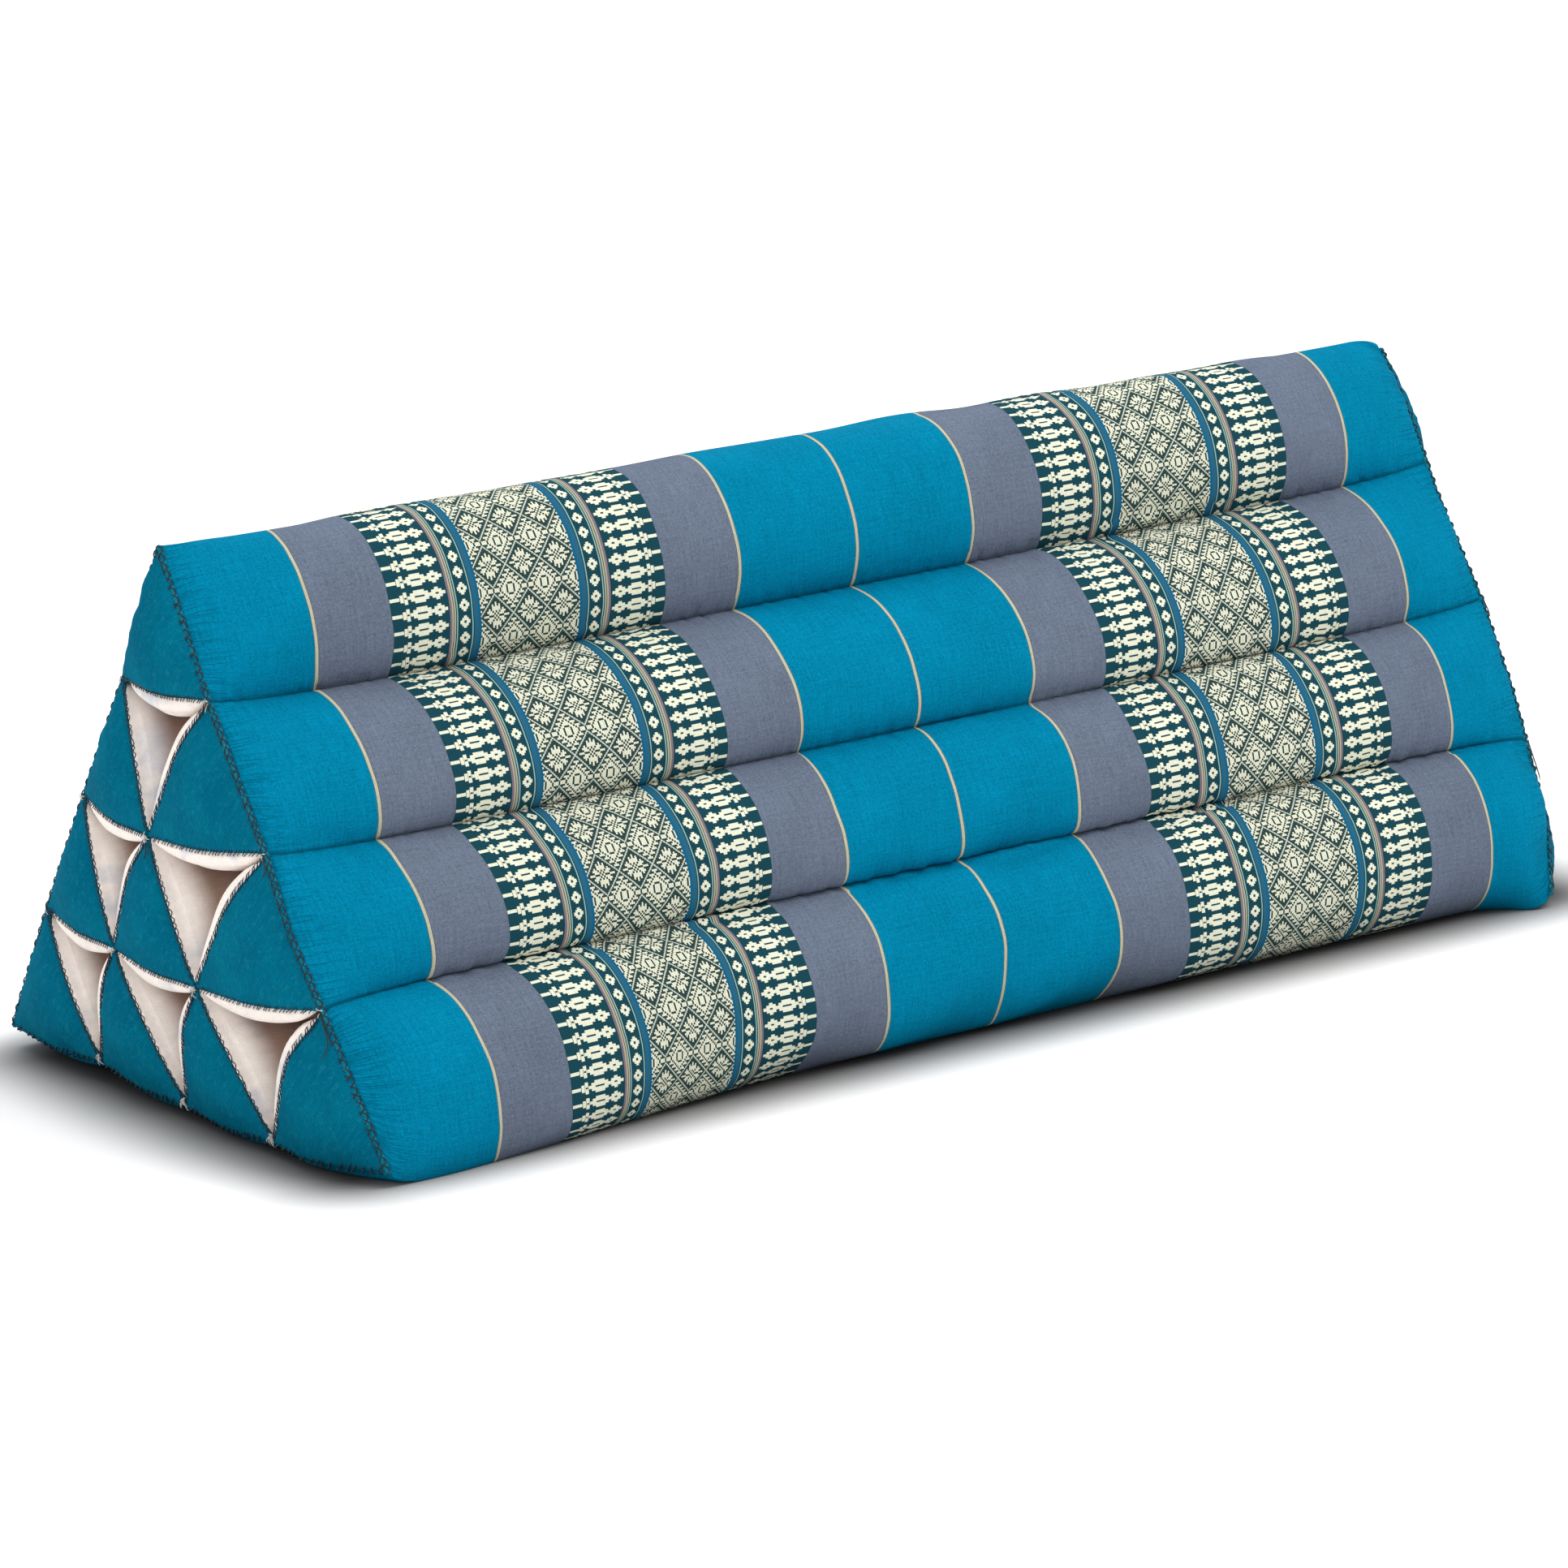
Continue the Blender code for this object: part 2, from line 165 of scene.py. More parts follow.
@dataclass(frozen=True)
class Stack:
    """Lattice of seams that the tubes hang between, and the curves that the stuffing swells to."""

    rows: int = 4
    half_length: float = 0.382
    base_width: float = 0.330
    height: float = 0.270
    base_seam_height: float = 0.012
    corner_inset: float = 0.004
    cloth: float = 0.002
    end_dome: float = 0.0105
    end_fill: float = 0.05           # share of the swell right at the end seam
    growth: float = 0.110            # length over which the upper channels fill
    low_growth: float = 0.045        # the same for the lowest channels and the base
    corner_growth: tuple[float, float] = (0.300, 0.060)    # of the drawn-in base corners, left and right
    node_reach: float = 0.040        # length over which the end's uneven nodes even out
    seam_shift: tuple[tuple[float, float], ...] = (
        (0.0, -0.001), (0.0055, -0.0035), (-0.0043, 0.0), (0.0040, 0.0050), (0.0290, -0.0114))
    front_arms: tuple[tuple[tuple[float, float], tuple[float, float]], ...] = (
        ((-0.0320, 0.0), (-0.0187, 0.0253)),
        ((-0.0400, 0.0), (-0.0176, 0.0209)),
        ((-0.0340, -0.0033), (-0.0168, 0.0098)),
        ((-0.0404, -0.0044), (-0.0381, 0.0155)))
    corner_arm_change: tuple[float, float] = (0.0241, -0.0005)    # of the last arm, at the ends
    base_corner_arm: tuple[float, float] = (0.0080, -0.0075)
    base_seam_arm: tuple[float, float] = (0.0100, -0.0240)
    ridge_lift: tuple[float, float, float] = (0.0045, 0.0027, -0.0025)
    ridge_round: tuple[float, float] = (0.022, 0.0075)    # reach and drop of the rounded right corner
    # Uneven seams of the ends, as (y, z), row by row from the front
    node_shift: tuple[tuple[tuple[float, float], ...], ...] = (
        ((-0.0015, 0.0015),),
        ((0.0, 0.0039), (-0.0038, 0.0020)),
        ((-0.0030, 0.0045), (0.0070, -0.0037), (-0.0020, 0.0016)),
        ((0.0, 0.0016), (0.0105, -0.0042), (0.0040, -0.0008), (-0.0010, 0.0020)),
        ((0.0, -0.0039), (0.0020, -0.0056), (-0.0013, -0.0056), (-0.0060, -0.0010), (0.0024, 0.0)))
    # Front of each end, drawn in along X: the end, distances to which it is full and by which it is gone,
    # places in front and the depth at each
    tucks: tuple[tuple[End, float, float, tuple[float, ...], tuple[float, ...]], ...] = (
        (End.LEFT, 0.10, 0.28, (0.105, 0.160), (0.0, 0.0130)),
        (End.RIGHT, 0.0, 0.07, (0.025, 0.050, 0.110, 0.145, 0.162), (0.0, 0.0040, 0.0035, 0.0095, 0.0220)))
    edge_bows: tuple[float, float, float] = (0.0005, 0.0020, 0.0036)   # front, bottom and back of a cap
    edge_leans: tuple[float, float, float] = (1.0, 1.0, 1.45)
    scallop: float = 0.0025          # bow of the caps' bottom edges along the base

    @property
    def channels(self) -> int:
        """Number of channels round the cover."""
        return 3 * self.rows

    def distance(self, x: np.ndarray) -> np.ndarray:
        """Distance from the nearer end seam."""
        return self.half_length - np.abs(x)

    def fullness(self, x: np.ndarray, growth: float) -> np.ndarray:
        """Share of the full swell along X: a quarter ellipse in from each end seam, then level."""
        left = np.clip(1.0 - self.distance(x) / growth, 0.0, 1.0)
        return self.end_fill + (1.0 - self.end_fill) * np.sqrt(1.0 - left**2)

    def corner_share(self, x: np.ndarray) -> np.ndarray:
        """Share of the way that the base corners have drawn in, a smooth step from each end."""
        share = np.clip(self.distance(x) / np.where(x < 0, *self.corner_growth), 0.0, 1.0)
        return share**2 * (3 - 2 * share)

    def seam(self, row: int, place: int, x: np.ndarray) -> np.ndarray:
        """Return (y, z) of a seam at each place along X.

        A seam starts on its node at the end, and those of the slopes leave the lattice by their shift as
        the cover fills.

        Args:
            row: Row, counted down from the ridge.
            place: Place in the row, counted from the front.
            x: Places along the cushion.
        """
        x = np.asarray(x, dtype=float)
        y = self.base_width * (place - row / 2) / self.rows
        z = self.base_seam_height + self.height * (1 - row / self.rows)
        uneven = np.exp(-self.distance(x) / self.node_reach)[..., None]
        point = np.array([y, z]) + uneven * np.array(self.node_shift[row][place])
        if place in (0, row):
            at_corner = row == self.rows
            full = self.corner_share(x) if at_corner else self.fullness(x, self.growth)
            inward, upward = self.seam_shift[row]
            inwards = full * inward + (1 - full) * (self.corner_inset if at_corner else 0.0)
            point[..., 0] += inwards if place == 0 else -inwards
            point[..., 1] += (self.fullness(x, self.low_growth) if at_corner else full) * upward
        if row == 0:
            ends = (-self.half_length, 0.0, self.half_length)
            point[..., 1] += np.interp(x, ends, self.ridge_lift)
            reach, drop = self.ridge_round
            near = np.clip(1 - (self.half_length - x) / reach, 0.0, 1.0)
            point[..., 1] -= drop * (1 - np.sqrt(1 - near**2))
        return point

    def channel_frame(self, number: int) -> tuple[tuple[int, int], tuple[int, int], tuple, tuple]:
        """Return a channel's two seams, as (row, place), and the arms of its arch at each."""
        rows = self.rows
        side, index = divmod(number, rows)
        if side == 0:
            upper, lower = self.front_arms[index]
            return (index, 0), (index + 1, 0), upper, lower
        if side == 1:
            first = self.base_corner_arm if index == 0 else self.base_seam_arm
            reach, drop = self.base_corner_arm if index == rows - 1 else self.base_seam_arm
            return (rows, index), (rows, index + 1), first, (-reach, drop)
        row = rows - 1 - index
        (upper_y, upper_z), (lower_y, lower_z) = self.front_arms[row]
        return (row + 1, row + 1), (row, row), (-lower_y, lower_z), (-upper_y, upper_z)

    def channel(self, number: int, shares: np.ndarray, x: np.ndarray,
                swell: np.ndarray | float = 1.0) -> np.ndarray:
        """Return (y, z) of a channel's outer face, one row of points for each place along X.

        Each row runs from the chord between the two seams, where the swell is nil, to a cubic arch, where
        it is full, and stays above the floor.

        Args:
            number: Channel, counted round the cover from the ridge down the front.
            shares: Places from 0 to 1 along the channel.
            x: Places along the cushion.
            swell: Factor of the swell at each place.
        """
        first, last, first_arm, last_arm = self.channel_frame(number)
        low = self.rows - 1 <= number <= 2 * self.rows
        full = self.fullness(x, self.low_growth if low else self.growth) * swell
        start, end = self.seam(*first, x)[:, None, :], self.seam(*last, x)[:, None, :]
        s = shares[None, :, None]
        chord = start + (end - start) * s
        one, two = start + np.array(first_arm), end + np.array(last_arm)
        early = (1 - self.corner_share(x))[:, None, None]
        if number == self.rows - 1:
            two = two + early * np.array(self.corner_arm_change)
        if number == 2 * self.rows:
            one = one + early * np.array(self.corner_arm_change) * (-1, 1)
        arch = (1 - s) ** 3 * start + 3 * s * (1 - s) ** 2 * one + 3 * s**2 * (1 - s) * two + s**3 * end
        points = chord + full[:, None, None] * (arch - chord)
        points[..., 1] = np.maximum(points[..., 1], 0.0)
        return points

    def dome(self, points: np.ndarray) -> np.ndarray:
        """How far the end stands out at (y, z) points: the product of their three lattice weights."""
        top = np.clip((points[..., 1] - self.base_seam_height) / self.height, 0.0, 1.0)
        lean = points[..., 0] / self.base_width
        front = np.clip((1 - top) / 2 - lean, 0.0, 1.0)
        back = np.clip((1 - top) / 2 + lean, 0.0, 1.0)
        return self.end_dome * 27.0 * top * front * back

    def tucked(self, points: np.ndarray) -> np.ndarray:
        """Draw the front of each end in along X, with a smooth step back to nothing."""
        moved = points.copy()
        for end, level, gone, fronts, depths in self.tucks:
            fade = np.clip((self.distance(points[..., 0]) - level) / (gone - level), 0.0, 1.0)
            depth = np.interp(-points[..., 1], fronts, depths) * (1 - fade**2 * (3 - 2 * fade))
            moved[..., 0] -= np.where(points[..., 0] * end.value > 0, end.value * depth, 0.0)
        return moved

    def tube_seams(self, row: int, place: int) -> tuple[tuple[int, int], ...]:
        """Return the three seams that a tube hangs between: apex, front and back."""
        return (row, place), (row + 1, place), (row + 1, place + 1)

    def corners(self, row: int, place: int, x: np.ndarray) -> list[np.ndarray]:
        """Return (y, z) of a tube's three corners at each place along X."""
        return [self.seam(*name, x) for name in self.tube_seams(row, place)]

    def covered(self, row: int, place: int) -> tuple[bool, bool, bool]:
        """Tell which of a tube's sides, front, bottom and back, lie under the cover."""
        return place == 0, row == self.rows - 1, place == row

    def edge_bow(self, row: int, place: int, side: int) -> float:
        """Return how far a cap's side bows out at its fullest."""
        if self.covered(row, place)[side]:
            return self.scallop if side == 1 else 0.0
        return self.edge_bows[side]

    def tubes(self) -> Iterable[tuple[int, int]]:
        """Yield the row and place of every tube."""
        return ((row, place) for row in range(self.rows) for place in range(row + 1))


# Shader expressions


def operator(operation: str, flipped: bool = False) -> "Callable[[Num, Num | float], Num]":
    """Return the method of a Math operation on two values, which change places where it is flipped."""
    def method(self: "Num", other: "Num | float") -> "Num":
        """Add the Math node."""
        return self.apply(operation, other, self) if flipped else self.apply(operation, self, other)
    return method


class Num:
    """A number in a shader, with its arithmetic written as a Python expression."""

    def __init__(self, graph: "Graph", socket: bpy.types.NodeSocket) -> None:
        """Wrap an output socket of a graph."""
        self.graph = graph
        self.socket = socket

    def apply(self, operation: str, *values: "Num | float") -> "Num":
        """Add a Math node on the values and return its result."""
        return self.graph.num("ShaderNodeMath", {"operation": operation}, dict(enumerate(values)))

    __add__ = __radd__ = operator("ADD")
    __sub__ = operator("SUBTRACT")
    __rsub__ = operator("SUBTRACT", flipped=True)
    __mul__ = __rmul__ = operator("MULTIPLY")
    __truediv__ = operator("DIVIDE")
    __mod__ = operator("FLOORED_MODULO")     # never negative
    __lt__ = operator("LESS_THAN")           # 1 where this is the smaller
    __gt__ = operator("GREATER_THAN")        # 1 where this is the greater
    either = operator("MAXIMUM")             # the greater of two masks
    both = operator("MINIMUM")               # the smaller of two masks

    def __abs__(self) -> "Num":
        """Size without sign."""
        return self.apply("ABSOLUTE", self)

    def floor(self) -> "Num":
        """Whole number below."""
        return self.apply("FLOOR", self)

    def wave(self, pitch: float) -> "Num":
        """Sine with a pitch."""
        return self.apply("SINE", self * (2 * math.pi / pitch))

    def power_of_two(self) -> "Num":
        """Two to this power."""
        return self.apply("POWER", 2.0, self)

    def near(self, place: float, reach: float) -> "Num":
        """1 within a reach of a place."""
        return self.apply("COMPARE", self, place, reach)

    def within(self, low: float, high: float) -> "Num":
        """1 between two numbers."""
        return self.near((low + high) / 2, (high - low) / 2)

    def smooth(self, low: float, high: float) -> "Num":
        """0 below low, 1 above high, with an even blend between."""
        settings = {"interpolation_type": "SMOOTHSTEP"}
        sockets = {"Value": self, "From Min": low, "From Max": high}
        return self.graph.num("ShaderNodeMapRange", settings, sockets)

    def fold(self, period: float) -> "Num":
        """Distance to the nearest multiple of a period."""
        return abs(self.apply("PINGPONG", self, period / 2))


Value = Num | float | Colour | bpy.types.NodeSocket


class Graph:
    """Node tree of one material, with its Principled shader."""

    def __init__(self, name: str, roughness: float, **constants: float) -> None:
        """Start a material.

        Args:
            name: Name of the material.
            roughness: Roughness of the whole surface.
            **constants: Other sockets of the shader that stay the same all over.
        """
        self.material = bpy.data.materials.new(name)
        self.material.use_nodes = True
        self.tree = self.material.node_tree
        self.shader = self.tree.nodes["Principled BSDF"]
        self.shader.inputs["Roughness"].default_value = roughness
        for socket, value in constants.items():
            self.shader.inputs[socket.replace("_", " ")].default_value = value

    def feed(self, socket: bpy.types.NodeSocket, value: Value) -> None:
        """Link an input socket to a value, or set it."""
        if isinstance(value, Num):
            value = value.socket
        if isinstance(value, bpy.types.NodeSocket):
            self.tree.links.new(value, socket)
        elif isinstance(value, tuple) and socket.type == "RGBA":
            socket.default_value = (*value, 1.0)
        else:
            socket.default_value = value

    def node(self, kind: str, settings: dict[str, object], sockets: dict[str | int, Value]) -> bpy.types.Node:
        """Add a node.

        Args:
            kind: Blender's name of the node's type.
            settings: Attributes of the node, set first.
            sockets: Values or links of its input sockets.
        """
        node = self.tree.nodes.new(kind)
        for name, value in settings.items():
            setattr(node, name, value)
        for name, value in sockets.items():
            self.feed(node.inputs[name], value)
        return node

    def num(self, kind: str, settings: dict[str, object], sockets: dict[str | int, Value],
            output: str | int = 0) -> Num:
        """Add a node and return one of its outputs as a number."""
        return Num(self, self.node(kind, settings, sockets).outputs[output])

    def split(self, vector: bpy.types.NodeSocket) -> list[Num]:
        """Return the three parts of a vector."""
        return [Num(self, part) for part in self.node("ShaderNodeSeparateXYZ", {}, {0: vector}).outputs]

    def place(self) -> list[Num]:
        """Return the object's own X, Y and Z."""
        return self.split(self.node("ShaderNodeTexCoord", {}, {}).outputs["Object"])

    def cloth(self) -> list[Num]:
        """Return the cloth's own coordinates, in metres along and across."""
        return self.split(self.node("ShaderNodeUVMap", {"uv_map": "cloth"}, {}).outputs[0])[:2]

    def mark(self, name: str) -> Num:
        """Return the numbers that the mesh carries under a name."""
        return self.num("ShaderNodeAttribute", {"attribute_name": name}, {}, "Fac")

    def vector(self, x: Value, y: Value, z: Value) -> bpy.types.NodeSocket:
        """Join three numbers."""
        return self.node("ShaderNodeCombineXYZ", {}, {0: x, 1: y, 2: z}).outputs[0]

    def noise(self, vector: Value, scale: float, detail: float = 2.0, roughness: float = 0.5) -> Num:
        """Noise from 0 to 1, read at a vector."""
        sockets = {"Vector": vector, "Scale": scale, "Detail": detail, "Roughness": roughness}
        return self.num("ShaderNodeTexNoise", {"noise_dimensions": "3D"}, sockets)

    def mix(self, share: Num | float, one: Value, two: Value) -> bpy.types.NodeSocket:
        """Blend two colours by a share."""
        return self.node("ShaderNodeMix", {"data_type": "RGBA"}, {0: share, 6: one, 7: two}).outputs[2]

    def shade(self, colour: Value, share: Num | float) -> bpy.types.NodeSocket:
        """Make a colour lighter or darker by a number round 1."""
        sockets = {0: colour, "Scale": share}
        return self.node("ShaderNodeVectorMath", {"operation": "SCALE"}, sockets).outputs[0]

    def finish(self, colour: Value, height: Num | None = None, depth: float = 0.0002,
               strength: float = 1.0) -> bpy.types.Material:
        """Wire the colour and the relief into the shader.

        Args:
            colour: Base colour.
            height: Relief from 0 to 1.
            depth: How high a relief of 1 stands, in metres.
            strength: Share of the bump that shows.
        """
        self.feed(self.shader.inputs["Base Color"], colour)
        if height is not None:
            sockets = {"Height": height, "Distance": depth, "Strength": strength}
            self.feed(self.shader.inputs["Normal"], self.node("ShaderNodeBump", {}, sockets).outputs[0])
        return self.material


# Finishes


@dataclass(frozen=True)
class CoverWeave:
    """Striped cotton with bands of supplementary-weft diamonds and flowers.

    Widths are millimetres of cloth. Everything is mirrored about the cloth's middle, and each pattern block
    about its own middle, so a place is told by its distance from the block's nearer edge.
    """

    teal: Colour = (0.0, 0.184, 0.322)
    grey: Colour = (0.124, 0.153, 0.210)
    gold: Colour = (0.400, 0.385, 0.275)
    gold_edge: Colour = (0.120, 0.105, 0.085)
    cream: Colour = (0.800, 0.815, 0.670)
    cream_shade: Colour = (0.660, 0.665, 0.500)
    mint: Colour = (0.270, 0.450, 0.420)
    petrol: Colour = (0.008, 0.040, 0.055)
    moss: Colour = (0.030, 0.050, 0.042)
    petrol_light: Colour = (0.014, 0.110, 0.150)
    violet: Colour = (0.200, 0.150, 0.180)
    blue_grey: Colour = (0.022, 0.112, 0.190)
    bright_blue: Colour = (0.006, 0.110, 0.215)

    middle: float = 384.1            # the cloth's middle, from the left seam
    stripe_width: float = 1.65
    stripe_edge: float = 0.35
    grey_span: tuple[float, float] = (73.4, 323.3)    # out from the middle, with a stripe at each end
    block_middle: float = 199.65
    block_half: float = 80.80
    rise: float = 8.07               # repeat of the small motifs across the cloth
    field_edge: float = 51.5
    field_repeat: float = 20.03
    field_columns: float = 20.0      # of the chart in one repeat
    cell: float = 1.0526             # rise of one cell of the chart
    lattice: tuple[float, float] = (0.42, 0.66)    # half widths of the slanting line and its dark edge
    twill_pitch: float = 0.95
    yarn_pitch: float = 0.42
    groove_painted_shade: float = 0.62       # painted shade: how much darker the cloth is along the drawn-in seams
    gather_painted_shade: float = 0.13       # painted shade: how much darker the gathers' troughs are
    gather_relief: float = 1.1
    gather_uneven: float = 26.0      # spread of the gathers' reach
    half_cloth: float = 382.0        # from the left seam to mid length
    gather: tuple[float, float] = (1.0, 20.0)    # from deep to gone, in from the end seams

    # Totem: from, to and half height
    totem: tuple[tuple[float, float, float], ...] = (
        (0.3, 5.8, 0.85), (6.1, 8.0, 1.85), (8.2, 10.2, 2.95), (10.4, 12.1, 0.80), (12.1, 14.2, 2.0),
        (14.2, 20.3, 3.05), (20.3, 22.4, 2.0), (22.4, 24.2, 0.85), (24.2, 26.1, 2.0), (26.1, 28.3, 3.0),
        (28.3, 30.2, 1.9), (30.2, 32.1, 0.80))
    totem_slits: tuple[tuple[float, float, float], ...] = (
        (8.5, 9.9, 0.42), (14.5, 20.1, 0.42), (26.3, 28.1, 0.42))
    # Border stripes: from, to and finish
    borders: tuple[tuple[float, float, str], ...] = (
        (33.1, 34.4, "violet"), (34.4, 35.3, "gold"), (35.7, 36.6, "gold"), (37.2, 37.8, "mint"),
        (46.1, 46.7, "mint"), (47.3, 50.1, "blue_grey"), (50.1, 51.5, "bright_blue"))
    # Flower of the border: half width and half height of the steps
    floret_middle: float = 42.0
    floret: tuple[tuple[float, float], ...] = ((0.9, 3.0), (1.9, 2.0), (2.9, 0.9))
    floret_slit: tuple[float, float] = (0.65, 0.65)

    # Quarter of the field's repeat: rows up from the big flower's middle, columns out from it
    chart: tuple[str, ...] = (
        ".x...xxx..x",
        "x.xxx....x.",
        ".x.xxx..x..",
        "xxx.x..x.xx",
        "xxx...x...x",
        "x.x..x.xxx.",
        "x...x...x.x",
        "...x.xxx.xx",
        "..x...x.xxx",
        ".x.xxx.xx..",
        "x...x.xx.xx",
        ".xxx.xxx.xx",
    )

    def chart_mask(self, x: Num, y: Num) -> Num:
        """Return 1 on the cream cells of the field.

        The chart's rows are held as binary numbers, with a 1 for each cream cell. The row under a point is
        picked by comparing, and its cell is the remainder of a division by a power of two.
        """
        column = (x + 0.5).floor()
        row = (y + 0.5).floor()
        codes = [sum(1 << i for i, cell in enumerate(line) if cell == "x") for line in self.chart]
        code: Num | float = 0.5
        for number, value in enumerate(codes):
            code = row.near(float(number), 0.1) * float(value) + code
        return ((code / column.power_of_two()).floor() % 2.0) > 0.5

    def band_mask(self, edge: Num, rise: Num, table: Iterable[tuple[float, float, float]]) -> Num:
        """Return 1 inside a row of blocks, given as from, to and half height."""
        height: Num | float = 0.0
        for start, stop, half in table:
            height = edge.within(start, stop) * half + height
        return rise < height

    def material(self) -> bpy.types.Material:
        """Build the woven cover's material."""
        g = Graph("cover weave", 0.85, Specular_IOR_Level=0.02)
        along, across = g.cloth()
        cloth_x, cloth_y = along * MILLIMETRES, across * MILLIMETRES
        warp_vector = g.vector(cloth_x, cloth_y, 0.0)
        wander = (g.noise(warp_vector, 0.035, 2.0) - 0.5) * 1.6
        off = abs(cloth_x + wander - self.middle)
        edge = self.block_half - abs(off - self.block_middle)
        rise = cloth_y.fold(self.rise)
        in_block = edge > 0.0
        in_grey = off.within(*self.grey_span)
        in_field = edge > self.field_edge

        field_x = (off - self.block_middle).fold(self.field_repeat) / (self.field_repeat / self.field_columns)
        field_y = cloth_y.fold(3 * self.rise) / self.cell
        slant = abs(field_x + field_y - self.field_columns / 2)
        lattice = (slant < self.lattice[0]).both(in_field)
        field = self.chart_mask(field_x, field_y).both(in_field).both(slant > self.lattice[1])
        totem = self.band_mask(edge, rise, self.totem) - self.band_mask(edge, rise, self.totem_slits)
        floret_x = abs(edge - self.floret_middle)
        floret: Num | float = 0.0
        for half_width, half_height in self.floret:
            floret = (floret_x < half_width).both(rise < half_height).either(floret)
        floret = floret - (floret_x < self.floret_slit[0]).both(rise < self.floret_slit[1])
        cream = field.either(totem).either(floret).both(in_block)

        yarn = cloth_x.wave(self.yarn_pitch) * cloth_y.wave(self.yarn_pitch)
        twill = (cloth_x * 0.8 + cloth_y).wave(self.twill_pitch)
        slub = g.noise(g.vector(cloth_x * 0.9, cloth_y * 0.06, 0.0), 1.0, 3.0)
        slub_across = g.noise(g.vector(cloth_x * 0.05, cloth_y * 0.9, 7.0), 1.0, 3.0)
        cloudy = g.noise(warp_vector, 0.018, 4.0, 0.55)
        flecks = g.noise(warp_vector, 1.1, 2.0)

        plain = g.mix(in_grey, self.teal, self.grey)
        speckle = g.noise(warp_vector, 0.55, 3.0, 0.6)
        tone = (twill * 0.09 + (slub - 0.5) * 0.50 + (slub_across - 0.5) * 0.36 + (cloudy - 0.5) * 0.36
                + (flecks - 0.5) * 0.60 + (speckle - 0.5) * 0.60 + 1.0)
        plain = g.shade(plain, tone)
        ground = g.mix((twill * 0.5 + 0.5).smooth(0.35, 0.95) * 0.5, self.petrol, self.petrol_light)
        ground = g.mix(in_field * 0.75, ground, self.moss)
        ground = g.mix(in_block, plain, ground)
        for start, stop, name in self.borders:
            ground = g.mix(edge.within(start, stop), ground, getattr(self, name))
        rib = (field_x + 0.5) % 1.0
        rib_gap = abs(rib - 0.5).smooth(0.36, 0.5)
        float_tone = (1.0 - rib_gap * 0.42 * in_field) * ((flecks - 0.5) * 0.35 + 1.0)
        colour = g.mix(cream, ground, g.shade(g.mix(slub, self.cream, self.cream_shade), float_tone))
        colour = g.mix(lattice * 0.9, colour, g.shade(g.mix(0.35, self.cream, self.mint), float_tone))
        line: Num | float = 0.0
        line_edge: Num | float = 0.0
        for place in (0.0, *self.grey_span):
            line = off.near(place, self.stripe_width / 2).either(line)
            line_edge = off.near(place, self.stripe_width / 2 + self.stripe_edge).either(line_edge)
        colour = g.mix(line_edge, colour, self.gold_edge)
        stripe = g.shade(g.mix(slub * 0.3, self.gold, self.cream), (flecks - 0.5) * 0.5 + 1.0)
        colour = g.mix(line, colour, stripe)
        # painted shade: the cloth is darkened along the drawn-in seams' grooves
        colour = g.shade(colour, 1.0 - g.mark("groove") * self.groove_painted_shade)

        uneven_reach = (g.noise(g.vector(0.0, cloth_y * 0.16, 5.0), 1.0, 1.0) - 0.5) * self.gather_uneven
        end_gap = self.half_cloth - abs(cloth_x - self.half_cloth)
        folds = g.noise(g.vector(cloth_x * 0.030, cloth_y * 0.22, 3.0), 1.0, 2.0)
        gone = (end_gap + uneven_reach).smooth(*self.gather)
        trough = (1.0 - abs(folds - 0.5).smooth(0.0, 0.048)) * (1.0 - gone)
        # painted shade in the troughs of the gathers
        colour = g.shade(colour, 1.0 - trough * self.gather_painted_shade)

        relief = (cream * (0.55 - rib_gap * in_field * 0.3) + twill * 0.07 + yarn * 0.06 + line * 0.3
                  + (slub - 0.5) * 0.3 + (flecks - 0.5) * 0.25 - trough * self.gather_relief)
        return g.finish(colour, relief, depth=0.0005, strength=0.8)


@dataclass(frozen=True)
class DyedCotton:
    """Plain dyed cotton twill of the end caps, a little faded and chalky."""

    name: str = "cap cotton"
    colour: Colour = (0.0, 0.124, 0.210)
    faded: Colour = (0.0, 0.170, 0.260)
    chalk: Colour = (0.020, 0.240, 0.320)
    twill_pitch: float = 1.0

    def material(self) -> bpy.types.Material:
        """Build the caps' material: a slanting twill on the end's own Y and Z."""
        g = Graph(self.name, 0.88, Specular_IOR_Level=0.02)
        x, y, z = (value * MILLIMETRES for value in g.place())
        spot = g.vector(x, y, z)
        bend = (g.noise(spot, 0.03, 2.0) - 0.5) * 2.2
        twill = (y * 0.95 + z * 0.55 + x * 0.4 + bend).wave(self.twill_pitch)
        cloudy = g.noise(spot, 0.04, 4.0, 0.6)
        flecks = g.noise(spot, 1.2, 2.0)
        streaks = g.noise(g.vector(y * 0.95 + z * 0.55, (z * 0.95 - y * 0.55) * 0.07, 0.0), 0.9, 3.0, 0.6)
        mottle = g.noise(spot, 0.35, 4.0, 0.65).smooth(0.50, 0.74)
        colour = g.mix(cloudy.smooth(0.35, 0.75) * 0.7, self.colour, self.faded)
        colour = g.mix(mottle * 0.34, colour, self.chalk)
        colour = g.shade(colour, twill * 0.13 + (flecks - 0.5) * 0.50 + (streaks - 0.5) * 0.50 + 1.0)
        return g.finish(colour, twill * 0.35 + (flecks - 0.5) * 0.5, depth=0.0004, strength=0.9)


